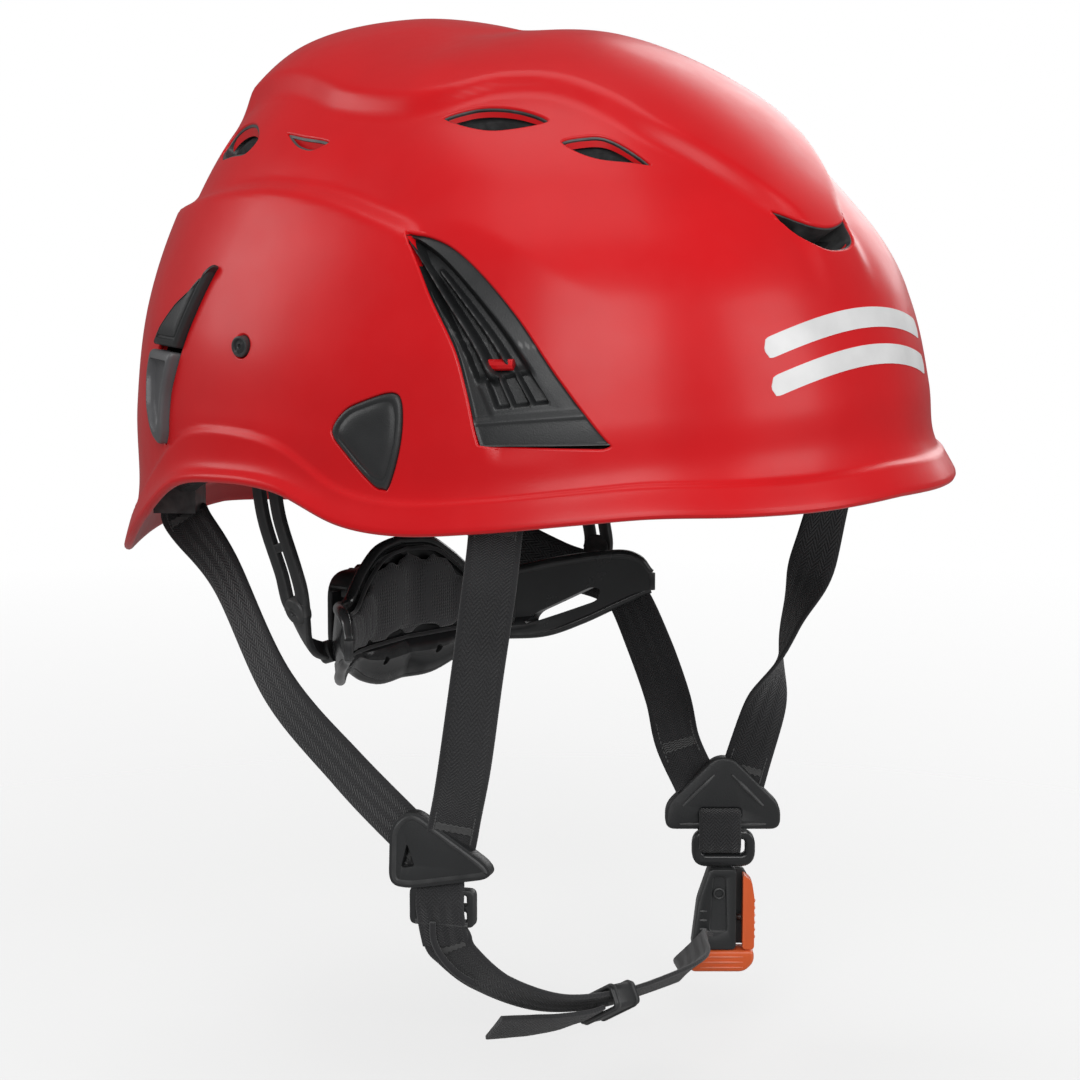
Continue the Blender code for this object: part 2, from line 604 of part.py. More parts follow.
def build_adjuster(mats):
    """Wheel adjuster behind the cradle: two racks run in a housing on either side of a pinion."""
    x, y, z = KNOB_CENTRE
    axes = (Vector((1, 0, 0)), Vector((0, 0, 1)), Vector((0, 1, 0)))
    centre = Vector((x, 0, z))
    bm = bmesh.new()
    prism(bm, rounded_outline([(-25, -15), (25, -15), (25, 15), (-25, 15)], 8, 3), centre, *axes, 55.2, 65)
    housing = add_object("adjuster_housing", bm, mats["satin"])
    bm = bmesh.new()
    box(bm, (x, 60, z), (60, 5.4, 19.4))
    boolean(housing, add_object("housing_hollow_cutter", bm, mats["satin"], cutter=True))
    bm = bmesh.new()
    prism(bm, circle(4.5, 20), centre, *axes, 60, 70)
    boolean(housing, add_object("housing_bore_cutter", bm, mats["satin"], cutter=True))
    set_origin(housing, (0, *SWING_AXIS))

    bm = bmesh.new()
    prism(bm, gear_outline(PINION_RADIUS, PINION_TEETH, TOOTH_DEPTH), centre, *axes, 57.8, 62.2)
    pinion = add_object("adjuster_pinion", bm, mats["satin"])
    bm = bmesh.new()
    prism(bm, circle(3.6, 20), centre, *axes, 61.5, 65.0)
    boolean(pinion, add_object("pinion_shaft", bm, mats["satin"], cutter=True), "UNION")

    bm = bmesh.new()
    knurl = gear_outline(KNOB_RADIUS, 20, 1.2)
    prism(bm, knurl, centre, *axes, 65.4, 74)
    set_origin(add_object("adjuster_knob", bm, mats["gloss"]), (x, 70, z))

    pitch = 2 * pi * (PINION_RADIUS - TOOTH_DEPTH / 2) / PINION_TEETH
    for label, side in SIDES.items():
        up = -side
        root, tip = z + up * (PINION_RADIUS + GAP), z + up * (PINION_RADIUS - TOOTH_DEPTH + GAP)
        base = z + up * RACK_BACK
        outline = []
        for k in range(RACK_FIRST, RACK_FIRST + RACK_TEETH):
            middle = side * k * pitch
            outline += [(middle - side * 0.62, root), (middle - side * 0.22, tip),
                        (middle + side * 0.22, tip), (middle + side * 0.62, root)]
        near = side * (RACK_FIRST - 0.5) * pitch
        far = side * (RACK_FIRST + RACK_TEETH + 1.5) * pitch
        outline = [(near, base), (near, root)] + outline + [(far, root), (far, base)]
        bm = bmesh.new()
        prism(bm, outline, Vector((0, 0, 0)), Vector((1, 0, 0)), Vector((0, 0, 1)), Vector((0, 1, 0)), 58, 62)
        set_origin(add_object("size_rack_" + label, bm, mats["satin"]), (0, 60, z))


# ---------------------------------------------------------------- straps
def anchor_frame(side, place):
    """Centre of a strap anchor, and its across, outward and up directions."""
    theta, reach, height, size = ANCHORS[place]
    out = Vector((side * sin(radians(theta)), -cos(radians(theta)), 0))
    across = Vector((-out.y, out.x, 0))
    return out * reach + Vector((0, 0, height)), across, out, size


def build_straps(mats):
    up = Vector((0, 0, 1))
    for label, side in SIDES.items():
        for place in ANCHORS:
            centre, across, out, size = anchor_frame(side, place)
            bm = bmesh.new()
            box(bm, centre, size, across, out, up)
            add_object("strap_anchor_%s_%s" % (place, label), bm, mats["satin"])
    for name, (points, sides, samples) in STRAPS.items():
        ribbon(name, mats["webbing"], points, sides, WEBBING, WEBBING_THICK, samples)
    ribbon("elastic_keeper_loop", mats["webbing"], ELASTIC, [(0.38, -0.92, 0)] * 2, 4, 1.4, 10)


def plate(name, mat, centre, right, face, outline, thick, holes=()):
    """Flat plate of the given outline across (right, up), facing along face, with openings through it."""
    up = Vector((0, 0, 1))
    bm = bmesh.new()
    prism(bm, outline, Vector(centre), right, up, face, -thick / 2, thick / 2)
    obj = add_object(name, bm, mat)
    if holes:
        bm = bmesh.new()
        for hole in holes:
            prism(bm, hole, Vector(centre), right, up, face, -thick, thick)
        boolean(obj, add_object(name + "_holes", bm, mat, cutter=True))
    return obj


def rectangle(x1, x2, y1, y2):
    return [(x1, y1), (x2, y1), (x2, y2), (x1, y2)]


def build_sliders(mats):
    plate("strap_divider_right", mats["satin"], DIVIDERS["right"], RIGHT_ACROSS, RIGHT_FACE,
          rounded_outline([(-5, 12), (-14, -11), (17, -6)], 4.5), 5,
          [rounded_outline([(-6, 5), (-9.5, -6), (-3.5, -5.5)], 1.5)])
    plate("strap_divider_left", mats["satin"], DIVIDERS["left"], BUCKLE_RIGHT, BUCKLE_FACE,
          rounded_outline([(0, 14), (-20, -10), (20, -10)], 5), 5, [rectangle(-8, 8, -6.5, -3.5)])
    plate("ladder_lock", mats["satin"], LADDER_LOCK, RIGHT_ACROSS, RIGHT_FACE,
          rounded_outline(rectangle(-10.5, 10.5, -6, 6), 2), 4,
          [rectangle(-8, 8, 1.2, 4.2), rectangle(-8, 8, -4.2, -1.2)])
    bm = bmesh.new()
    along = Vector(KEEPER_ALONG).normalized()
    across = Vector(KEEPER_ACROSS)
    across = (across - along * across.dot(along)).normalized()
    out = along.cross(across)
    centre = Vector(KEEPER)
    prism(bm, rounded_outline(rectangle(-11, 11, -5.2, 5.2), 2), centre, across, out, along, -6.5, 6.5)
    keeper = add_object("strap_keeper", bm, mats["gloss"])
    bm = bmesh.new()
    prism(bm, rectangle(-9.2, 9.2, -3.5, 3.5), centre, across, out, along, -8, 8)
    boolean(keeper, add_object("keeper_hollow_cutter", bm, mats["gloss"], cutter=True))
    set_origin(keeper, centre)


# ---------------------------------------------------------------- buckle
def buckle_prism(bm, outline, near, far):
    prism(bm, outline, Vector(BUCKLE), BUCKLE_RIGHT, Vector((0, 0, 1)), BUCKLE_FACE, near, far)


def build_buckle(mats):
    def piece(name, mat, outline, near, far):
        bm = bmesh.new()
        buckle_prism(bm, outline, near, far)
        return add_object(name, bm, mat)

    outline = rounded_outline(rectangle(-12, 10, 18.4, 31.4), 4.5)
    loop = piece("buckle_loop", mats["gloss"], outline, -2.4, 2.4)
    bm = bmesh.new()
    buckle_prism(bm, rounded_outline(rectangle(-8.5, 6.5, 22.6, 28.2), 1.5), -5, 5)
    boolean(loop, add_object("loop_hole_cutter", bm, mats["gloss"], cutter=True))

    outline = rounded_outline([(-6, 18), (3.4, 18), (3.4, -10.6), (-12, -10.6), (-10, 6)], 1.2)
    housing = piece("buckle_housing", mats["satin"], outline, -4.8, 4.8)
    bm = bmesh.new()
    buckle_prism(bm, rectangle(-8.5, 0.6, -12, 8.4), -2.4, 2.4)
    boolean(housing, add_object("housing_mouth_cutter", bm, mats["satin"], cutter=True))

    outline = rounded_outline([(6.2, 16.4), (9.2, 13), (9.8, -10.6), (6.2, -10.6)], 0.8)
    set_origin(piece("release_button", mats["orange"], outline, -4.8, 4.8), local(7.5, 0))
    spring = piece("button_spring", mats["steel"], rectangle(3.8, 5.8, -1.5, 1.5), -1.5, 1.5)
    set_origin(spring, local(3.8, 0))

    outline = rounded_outline([(-12.4, -11), (9.8, -11), (9.8, -15), (6, -18.7), (-12.4, -18.7)], 1.2)
    tongue = piece("buckle_tongue", mats["orange"], outline, -4.8, 4.8)
    bm = bmesh.new()
    buckle_prism(bm, rounded_outline(rectangle(-7.9, 0, -13, 6), 1), -2, 2)
    boolean(tongue, add_object("tongue_prong", bm, mats["orange"], cutter=True), "UNION")
    bm = bmesh.new()
    buckle_prism(bm, rectangle(-5, -3, -7, 3), -5, 5)
    boolean(tongue, add_object("prong_slot_cutter", bm, mats["orange"], cutter=True))
    set_origin(tongue, local(0, -11))


def local(right, up):
    return Vector(BUCKLE) + BUCKLE_RIGHT * right + Vector((0, 0, up))


def main():
    for obj in list(bpy.data.objects):
        bpy.data.objects.remove(obj)
    mats = {
        "shell": material("shell_red", (0.72, 0.02, 0.03), 0.22),
        "liner": material("liner_black", (0.03, 0.03, 0.03), 0.85),
        "satin": material("satin_black", (0.04, 0.04, 0.04), 0.45),
        "gloss": material("gloss_black", (0.05, 0.05, 0.05), 0.25),
        "foam": material("foam_grey", (0.09, 0.09, 0.09), 0.95),
        "webbing": material("webbing_black", (0.035, 0.035, 0.035), 0.8),
        "orange": material("orange", (0.85, 0.17, 0.04), 0.4),
        "steel": material("spring_steel", (0.6, 0.6, 0.6), 0.3, 1.0),
    }
    build_shell(mats)
    build_inside(mats)
    build_cradle(mats)
    build_adjuster(mats)
    build_straps(mats)
    build_sliders(mats)
    build_buckle(mats)


main()
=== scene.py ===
"""Looks of the climbing helmet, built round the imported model.

Geometry is worked out in millimetres in the model's own frame, and MM scales it when a mesh is made.
"""
import math
from math import cos, pi, radians, sin

import bmesh
import bpy
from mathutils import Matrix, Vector
from mathutils.bvhtree import BVHTree


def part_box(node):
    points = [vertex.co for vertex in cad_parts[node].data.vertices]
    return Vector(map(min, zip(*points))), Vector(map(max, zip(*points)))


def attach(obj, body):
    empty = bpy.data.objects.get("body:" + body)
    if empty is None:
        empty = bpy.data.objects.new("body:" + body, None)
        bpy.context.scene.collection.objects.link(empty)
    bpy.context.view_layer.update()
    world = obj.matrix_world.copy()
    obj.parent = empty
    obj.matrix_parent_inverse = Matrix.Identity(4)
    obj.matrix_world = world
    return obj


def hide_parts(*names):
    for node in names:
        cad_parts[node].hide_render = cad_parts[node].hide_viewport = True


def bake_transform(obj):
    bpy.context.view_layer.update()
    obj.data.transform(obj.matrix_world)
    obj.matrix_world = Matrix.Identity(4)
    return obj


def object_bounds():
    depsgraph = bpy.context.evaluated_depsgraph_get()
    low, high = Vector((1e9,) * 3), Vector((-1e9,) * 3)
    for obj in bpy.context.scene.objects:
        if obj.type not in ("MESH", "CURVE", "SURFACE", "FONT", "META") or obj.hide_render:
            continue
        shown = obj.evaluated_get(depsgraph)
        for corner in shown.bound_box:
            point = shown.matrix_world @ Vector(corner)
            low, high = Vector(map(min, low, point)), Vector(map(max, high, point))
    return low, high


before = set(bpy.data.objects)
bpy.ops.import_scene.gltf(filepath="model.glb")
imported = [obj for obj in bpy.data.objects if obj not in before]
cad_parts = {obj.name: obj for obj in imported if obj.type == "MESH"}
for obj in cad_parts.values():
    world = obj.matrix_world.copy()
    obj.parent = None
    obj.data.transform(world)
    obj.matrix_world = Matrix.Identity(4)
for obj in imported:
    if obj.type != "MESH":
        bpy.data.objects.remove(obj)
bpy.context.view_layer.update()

MM = 0.001
X_AXIS = Vector((1, 0, 0))
Y_AXIS = Vector((0, 1, 0))
UP = Vector((0, 0, 1))
SIDES = {"right": -1, "left": 1}
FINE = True

# ---- the shell's form, as in the model: radius and height down each profile
CROWN_Z = 151
FRONT = [(0, CROWN_Z), (32, 150), (64, 138), (93, 119), (116, 94), (129, 66), (135, 42), (137, 26), (144, 13)]
SIDE = [(0, CROWN_Z), (31, 147), (58, 136), (82, 115), (99, 87), (109, 58), (113, 33), (114, 17), (117, 10)]
REAR = [(0, CROWN_Z), (42, 155), (80, 147), (102, 124), (117, 96), (128, 64), (132, 30), (131, 0), (136, -18)]
RIM = [(0, 13), (15, 12), (25, 12), (36, 12.3), (45, 10.5), (58, 7), (70, 4.8), (80, 6.5), (92, 14.5),
       (105, 15), (116, 11), (128, -3), (140, -16), (150, -19), (165, -16), (180, -13)]
PLAN_POWER = 2.15
SHELL_WALL = 3.0
CREST_WIDTH = [(-116, 12), (-107, 20), (-99, 26), (-91, 31), (-79, 37), (-64, 40), (-47, 44), (-32, 52),
               (-20, 61), (-5, 66), (22, 64), (42, 57), (62, 50), (85, 42)]
CREST_STEP = 4.0
SWELL_TOP = [(-70, 20), (-66, 34), (-63, 46), (-57, 58), (-47, 73), (-40, 83), (-30, 92), (-16, 97),
             (6, 102), (28, 104), (55, 102), (87, 96), (110, 94), (140, 93)]
# Height of the moulded crease over the rim, by angle from the front.
CREASE = [(0, 8), (60, 8), (80, 9), (95, 13), (110, 15), (125, 14), (140, 10), (155, 9), (180, 9)]
CREASE_RAISE = 1.1
LINER_TOP = -8.2                # the liner's outer and inner faces, from the plain surface
LINER_INNER = -22.7
LINER_END = 11 / 13

# ---- openings of the shell, as in the model
WINDOW_FRONT = [(-28, 92), (-43, 88), (-57, 79), (-71, 66), (-83, 51), (-92, 39), (-98, 31)]
WINDOW_REAR = [(-28, 92), (-36, 82), (-43, 72), (-53, 58), (-58, 46), (-61, 36), (-63, 30)]
WINDOW_CORNER = (-96, 29.5)
PLUG = [(-15, 32), (-19, 39), (-27, 43), (-36, 45.5), (-40, 42), (-40.5, 30), (-37, 17), (-34, 15.5),
        (-30, 17), (-21, 25)]
RIVET_YZ = (24, 55)
RIVET_RADIUS = 4.2
CLIP_DIRECTION = 128
CLIP_BASE = [(-27, 79), (-22, 73), (-12, 66), (-3, 57), (0.3, 51.2), (-18.8, 51.2), (-22, 61)]
CLIP_LEVER = [(-18.3, 51.2), (0.7, 51.2), (1.5, 43), (-1, 32), (-7, 23), (-13, 20), (-15.5, 25), (-15.5, 38)]
CLIP_OPENING = CLIP_BASE[:4] + CLIP_LEVER[1:] + CLIP_BASE[-1:]
TOP_VENTS = [[(66, -20), (61, -26), (57.5, -33), (54.5, -43), (53.7, -52.5), (59, -49), (65, -40), (67, -30)],
             [(58, -59), (52, -63.5), (47.5, -68.5), (45, -76), (44, -83.5), (49, -79), (55, -72), (58, -65)],
             [(69.5, 40.5), (72, 30), (74.5, 17.5), (76.5, 20), (77, 25), (74.5, 33)],
             [(54, 83), (51.5, 79), (56, 68), (61, 60), (67.5, 54), (70, 58), (66, 68), (61, 77)]]
FRONT_VENT = [(-19, 97), (-10, 93.5), (0, 92), (10, 93.5), (19, 97), (15, 89), (8, 85), (0, 84), (-8, 85),
              (-15, 89)]

# ---- harness, as in the model
WEBBING = 16
WEBBING_THICK = 1.6
HEADBAND_HALF = (80, 101)
HEADBAND_Z = (9, 33)
CRADLE_PLAN = [(0, 52), (32, 46.5), (57, 29), (71, 16), (80, 5)]
CRADLE_WALL = 2.6
CRADLE_TOP = [(0, -21), (0.1, -22.5), (0.17, -28), (0.25, -36), (0.32, -37), (0.5, -33.5), (0.8, -31.5),
              (0.93, -33.5), (1, -38)]
CRADLE_BOTTOM = [(0, -67), (0.1, -67), (0.18, -64), (0.27, -59), (0.45, -58.5), (0.6, -54.5), (0.8, -48.5),
                 (1, -44)]
CRADLE_WINDOW = [(35.5, -55), (34.5, -51.5), (21, -42.5), (18.5, -43.5), (19.5, -47.5)]
HANGER_ROUTE = [(84, 38, 14), (83, 36, -2), (81, 30.5, -20), (79, 28.5, -33), (68, 34, -44.5),
                (52, 39.6, -50.5)]
HANGER_SIDES = [(0, 1, 0), (0, 0.95, 0.2), (0, 0.8, 0.6), (0, 0.3, 1)]
KNOB_CENTRE = Vector((0, 70, -45))
KNOB_RADIUS = 14
DIVIDERS = {"right": Vector((-77, -27, -101)), "left": Vector((74.5, -30, -112))}
RIGHT_ACROSS = Vector((0.38, -0.925, 0)).normalized()
RIGHT_FACE = Vector((-0.925, -0.38, 0)).normalized()
LADDER_LOCK = Vector((-76, -28, -118.5))
KEEPER = Vector((-20, -50, -159.2))
KEEPER_ALONG = Vector((0.98, -0.16, -0.05)).normalized()
KEEPER_ACROSS = Vector((0, -0.86, 0.5))
BUCKLE = Vector((74, -32, -155))
BUCKLE_RIGHT = Vector((0.616, -0.788, 0)).normalized()
BUCKLE_FACE = Vector((-0.788, -0.616, 0)).normalized()
STRAPS = {
    "front_strap_right": ([(-95, -64, 4.5), (-91.5, -59, -12), (-86.5, -50, -42), (-81.5, -41, -72),
                           (-76.5, -33, -91)],
                          [(0.56, -0.83, 0), (0.6, -0.8, 0), (0.5, -0.86, 0)]),
    "rear_strap_right": ([(-63, 91.5, -11), (-65, 73.5, -26), (-74.5, 42, -58), (-75.5, 11.5, -81),
                          (-78.5, -17, -97)],
                         [(0.75, 0.4, 0.35), (0, -0.6, 0.8), (0, -0.65, 0.75), (0.1, -0.6, 0.78)]),
    "front_strap_left": ([(94, -63, 4.5), (91, -55, -30), (88, -48, -52), (85, -42, -76), (81, -36, -100)],
                         [(0.8, -0.5, 0), (0.72, -0.5, 0.1), (-0.6, -0.8, 0), (-0.66, 0.72, 0),
                          (-0.62, 0.79, 0)]),
    "rear_strap_left_upper": ([(63, 91.5, -11), (66, 70, -24), (79, 46, -38), (85.5, 30, -43)],
                              [(-0.75, 0.4, 0.35), (-0.1, -0.4, 0.9), (0.05, 0.15, 0.98)]),
    "rear_strap_left_lower": ([(82.5, 17.5, -47.5), (80.5, 6, -64), (76.5, -5, -81), (70.5, -13.5, -94.5)],
                              [(0.5, -0.75, 0.3), (0.5, -0.8, -0.1), (0.55, -0.75, -0.2)]),
    "chin_strap": ([(-75.5, -28.5, -128), (-73, -30.5, -134), (-62, -36, -145), (-43, -44, -154.5),
                    (-20, -50, -158), (4, -52, -158.5), (28, -49, -159.5), (45, -38.3, -161),
                    (59.2, -27.5, -163)],
                   [(0.38, -0.92, 0), (0.3, -0.92, 0.1), (0, -0.86, 0.5), (0, -0.8, 0.6), (0, -0.66, 0.75),
                    (0.45, -0.65, 0.6)]),
    "chin_strap_tail": ([(-28, -50, -161), (-36, -48, -161.4), (-45, -44.5, -161.2), (-53, -40.5, -160.6),
                         (-61, -36, -160)],
                        [(0.1, -0.86, 0.5), (0.2, -0.85, 0.48), (0.3, -0.83, 0.45)]),
}
# Webbing that the model leaves out: into the anchors and dividers, and through the ladder lock.
STRAP_STARTS = {"front_strap_right": (-96.5, -66, 13), "front_strap_left": (96, -66, 13),
                "rear_strap_right": (-62.5, 98, -3), "rear_strap_left": (62.5, 98, -3)}
STRAP_ENDS = {"front_strap_right": (-75, -29.5, -101), "front_strap_left": (78.5, -34.5, -110),
              "rear_strap_right": (-78, -23, -101.5), "rear_strap_left": (68.8, -23, -108),
              "chin_strap": (68.5, -25.5, -166.5)}
LADDER_WEB = [(-76.8, -27.3, -105), (-77.2, -27.8, -112), (-78.9, -29, -118.5), (-77, -28.5, -125),
              (-75.3, -28.6, -131)]
ELASTIC = [(-80, -27, -123), (-79.5, -27, -129), (-76.5, -28, -135), (-72.5, -30.5, -140.5),
           (-68.5, -33.5, -144)]


# ---------------------------------------------------------------- curves and the shell's surface
def catmull(points, t):
    spans = len(points) - 1
    i = min(int(t * spans), spans - 1)
    f = t * spans - i
    p1, p2 = Vector(points[i]), Vector(points[i + 1])
    p0 = Vector(points[i - 1]) if i > 0 else p1 * 2 - p2
    p3 = Vector(points[i + 2]) if i + 2 <= spans else p2 * 2 - p1
    m1, m2 = (p2 - p0) / 2, (p3 - p1) / 2
    f2, f3 = f * f, f * f * f
    return p1 * (2 * f3 - 3 * f2 + 1) + m1 * (f3 - 2 * f2 + f) + p2 * (3 * f2 - 2 * f3) + m2 * (f3 - f2)


def table(pairs, x):
    if x <= pairs[0][0]:
        return pairs[0][1]
    if x >= pairs[-1][0]:
        return pairs[-1][1]
    i = max(k for k in range(len(pairs) - 1) if pairs[k][0] <= x)
    (x1, y1), (x2, y2) = pairs[i], pairs[i + 1]
    before = pairs[i - 1] if i > 0 else (x1 - (x2 - x1), y1)
    after = pairs[i + 2] if i + 2 < len(pairs) else (x2 + (x2 - x1), y2)
    m1 = (y2 - before[1]) / (x2 - before[0]) * (x2 - x1)
    m2 = (after[1] - y1) / (after[0] - x1) * (x2 - x1)
    f = (x - x1) / (x2 - x1)
    f2, f3 = f * f, f * f * f
    return y1 * (2 * f3 - 3 * f2 + 1) + m1 * (f3 - 2 * f2 + f) + y2 * (3 * f2 - 2 * f3) + m2 * (f3 - f2)


def smoothstep(low, high, x):
    f = min(max((x - low) / (high - low), 0), 1)
    return f * f * (3 - 2 * f)


def bump(x, middle, half):
    """1 at the middle, falling smoothly to 0 at half on each side."""
    return smoothstep(half, 0, abs(x - middle)) if half > 0 else 0


def angle_of(theta):
    return math.degrees(math.acos(max(-1, min(1, cos(theta)))))


def plain_surface(theta, t):
    c, s = cos(theta), sin(theta)
    end = catmull(FRONT if c > 0 else REAR, t)
    side = catmull(SIDE, t)
    a, b = max(end[0], 1e-6), max(side[0], 1e-6)
    radius = ((abs(c) / a) ** PLAN_POWER + (abs(s) / b) ** PLAN_POWER) ** (-1 / PLAN_POWER)
    along = c * c
    z = end[1] * along + side[1] * (1 - along)
    edge = (FRONT if c > 0 else REAR)[-1][1] * along + SIDE[-1][1] * (1 - along)
    z += (table(RIM, angle_of(theta)) - edge) * max((t - 0.55) / 0.45, 0) ** 2
    return Vector((radius * s, -radius * c, z))


def normal_of(surface, theta, t):
    t = min(max(t, 0.01), 0.99)
    across = surface(theta + 1e-3, t) - surface(theta - 1e-3, t)
    down = surface(theta, t + 1e-3) - surface(theta, t - 1e-3)
    return down.cross(across).normalized()


def crest_amount(p):
    half = table(CREST_WIDTH, p.y)
    inside = 1 - smoothstep(half - 2.6, half + 5.2, abs(p.x))
    return inside * (1 - smoothstep(80, 92, p.y))


def swell_amount(p):
    return 1 - smoothstep(table(SWELL_TOP, p.y) - 3.2, table(SWELL_TOP, p.y) + 3.2, p.z)


def recess_depth(p):
    rearward = smoothstep(-42, -14, p.y)
    fade = smoothstep(70 - 10 * rearward, 108 - 13 * rearward, p.z)
    behind_window = smoothstep(-95, -40, p.y) * (1 - smoothstep(-5, 15, p.y))
    depth = max(CREST_STEP * fade, 3.0 * behind_window * smoothstep(24, 34, p.z))
    return depth * (1 - crest_amount(p)) * (1 - swell_amount(p))


def shell_surface(theta, t):
    """Point on the finished shell, with its crown band, swollen sides and the raised band along the rim."""
    p = plain_surface(theta, t)
    degrees = angle_of(theta)
    over_rim = p.z - table(RIM, degrees)
    crease = table(CREASE, degrees)
    lift = CREASE_RAISE * (1 - smoothstep(crease - 1.2, crease + 0.6, over_rim))
    return p + normal_of(plain_surface, theta, t) * (lift - recess_depth(p))


# ---------------------------------------------------------------- meshes
def finish_mesh(name, bm, mat, sharp=35):
    """Turn a bmesh in millimetres into a shaded object in metres."""
    bmesh.ops.recalc_face_normals(bm, faces=bm.faces)
    bmesh.ops.scale(bm, vec=(MM,) * 3, verts=bm.verts)
    mesh = bpy.data.meshes.new(name)
    bm.to_mesh(mesh)
    bm.free()
    obj = bpy.data.objects.new(name, mesh)
    bpy.context.scene.collection.objects.link(obj)
    mesh.materials.append(mat)
    mesh.shade_smooth()
    mesh.set_sharp_from_angle(angle=radians(sharp))
    return obj


def apply_modifiers(obj, sharp=35):
    graph = bpy.context.evaluated_depsgraph_get()
    mesh = bpy.data.meshes.new_from_object(obj.evaluated_get(graph))
    old = obj.data
    obj.modifiers.clear()
    obj.data = mesh
    bpy.data.meshes.remove(old)
    mesh.shade_smooth()
    mesh.set_sharp_from_angle(angle=radians(sharp))
    return obj


def cut(obj, cutter):
    mod = obj.modifiers.new("cut", "BOOLEAN")
    mod.operation = "DIFFERENCE"
    mod.solver = "EXACT"
    mod.object = cutter
    bpy.context.view_layer.update()
    apply_modifiers(obj)
    bpy.data.objects.remove(cutter)


def soften(obj, width, segments=3):
    """Round an object's sharp edges; width in millimetres."""
    mod = obj.modifiers.new("soften", "BEVEL")
    mod.width = width * MM
    mod.segments = segments
    mod.limit_method = "ANGLE"
    mod.angle_limit = radians(30)
    mod.harden_normals = True


def round_edges(obj, width, segments):
    """Round an object's sharp edges and make the rounding part of its mesh."""
    soften(obj, width, segments)
    bpy.context.view_layer.update()
    return apply_modifiers(obj, 60)


def grid_faces(bm, rows, closed_rows=False, closed_columns=False):
    count = len(rows)
    for i in range(count if closed_rows else count - 1):
        one, two = rows[i], rows[(i + 1) % count]
        width = len(one)
        for j in range(width if closed_columns else width - 1):
            n = (j + 1) % width
            bm.faces.new((one[j], one[n], two[n], two[j]))


def loft(bm, rows):
    """Solid through rings of vertices, closed at both ends."""
    grid_faces(bm, rows, closed_columns=True)
    bm.faces.new(rows[0])
    bm.faces.new(list(reversed(rows[-1])))


def fan(bm, point, ring):
    """Close a ring of vertices onto one point."""
    pole = bm.verts.new(point)
    for i in range(len(ring)):
        bm.faces.new((pole, ring[i], ring[(i + 1) % len(ring)]))


def band(bm, along, up, front, back):
    """Solid strip between two faces, each given by (position, v): -1 to 1 along it and 0 to 1 up it."""
    rows = []
    for i in range(along + 1):
        position = 2 * i / along - 1
        points = [front(position, j / up) for j in range(up + 1)]
        points += [back(position, j / up) for j in range(up, -1, -1)]
        rows.append([bm.verts.new(p) for p in points])
    loft(bm, rows)


def prism(bm, outline, origin, u, v, w, near, far):
    rows = []
    for depth in (near, far):
        rows.append([bm.verts.new(origin + u * a + v * b + w * depth) for a, b in outline])
    bm.faces.new(rows[0])
    bm.faces.new(list(reversed(rows[1])))
    grid_faces(bm, rows, closed_columns=True)


def cut_prism(obj, *shape):
    bm = bmesh.new()
    prism(bm, *shape)
    cut(obj, finish_mesh("cutter", bm, obj.data.materials[0]))


def tube(bm, points, radius, closed=False, sides=10, normals=None):
    """Round bar along points; normals, where given, steady its rings."""
    rows = []
    count = len(points)
    for i, p in enumerate(points):
        ahead = points[(i + 1) % count] if closed or i < count - 1 else p
        behind = points[i - 1] if closed or i > 0 else p
        along = (ahead - behind).normalized()
        up = Vector(normals[i]) if normals else (UP if abs(along.z) < 0.95 else X_AXIS)
        out = (up - along * up.dot(along)).normalized()
        across = along.cross(out)
        size = radius[i] if isinstance(radius, (list, tuple)) else radius
        rows.append([bm.verts.new(p + (across * cos(a) + out * sin(a)) * size)
                     for a in turns(sides)])
    if closed:
        grid_faces(bm, rows, closed_rows=True, closed_columns=True)
    else:
        loft(bm, rows)


def turns(count):
    return [2 * pi * k / count for k in range(count)]


def circle(radius, count):
    return [(radius * cos(a), radius * sin(a)) for a in turns(count)]


def rectangle(x1, x2, y1, y2):
    return [(x1, y1), (x2, y1), (x2, y2), (x1, y2)]


def rounded_outline(points, radius, steps=5):
    result = []
    count = len(points)
    for i in range(count):
        before, here, after = (Vector(points[k % count]) for k in (i - 1, i, i + 1))
        reach = [min(radius, (q - here).length * 0.48) for q in (before, after)]
        start = here + (before - here).normalized() * reach[0]
        end = here + (after - here).normalized() * reach[1]
        for k in range(steps + 1):
            f = k / steps
            result.append(tuple(start * (1 - f) ** 2 + here * 2 * f * (1 - f) + end * f * f))
    return result


def inset_outline(points, distance):
    count = len(points)
    area = sum(points[i][0] * points[(i + 1) % count][1] - points[(i + 1) % count][0] * points[i][1]
               for i in range(count))
    turn = 1 if area > 0 else -1
    result = []
    for i in range(count):
        before, here, after = (Vector(points[k % count]) for k in (i - 1, i, i + 1))
        e1, e2 = (here - before).normalized(), (after - here).normalized()
        inward = Vector((-e1.y - e2.y, e1.x + e2.x)) * turn
        inward.normalize()
        sharp = max(abs(inward.dot(Vector((-e1.y, e1.x)))), 0.35)
        result.append(tuple(here + inward * distance / sharp))
    return result


def even_outline(points, spacing):
    """Closed outline with a point at least every spacing."""
    result = []
    count = len(points)
    for i in range(count):
        a, b = Vector(points[i]), Vector(points[(i + 1) % count])
        steps = max(1, math.ceil((b - a).length / spacing))
        result += [tuple(a.lerp(b, k / steps)) for k in range(steps)]
    return result


# ---------------------------------------------------------------- the shell as something to aim at
TARGET = None       # search tree of the shell's outer face, made once the shell is


class Face:
    """A flat view of the shell: points (a, b) of that view land on its surface."""

    def __init__(self, origin, u, v, w):
        self.origin, self.u, self.v, self.w = Vector(origin), Vector(u), Vector(v), Vector(w)

    def land(self, a, b, offset=0.0):
        start = self.origin + self.u * a + self.v * b + self.w * 300
        place, normal, _, _ = TARGET.ray_cast(start, -self.w)
        if place is None:
            raise ValueError("a view point misses the shell")
        return place + normal * offset if normal.dot(self.w) > 0 else place - normal * offset


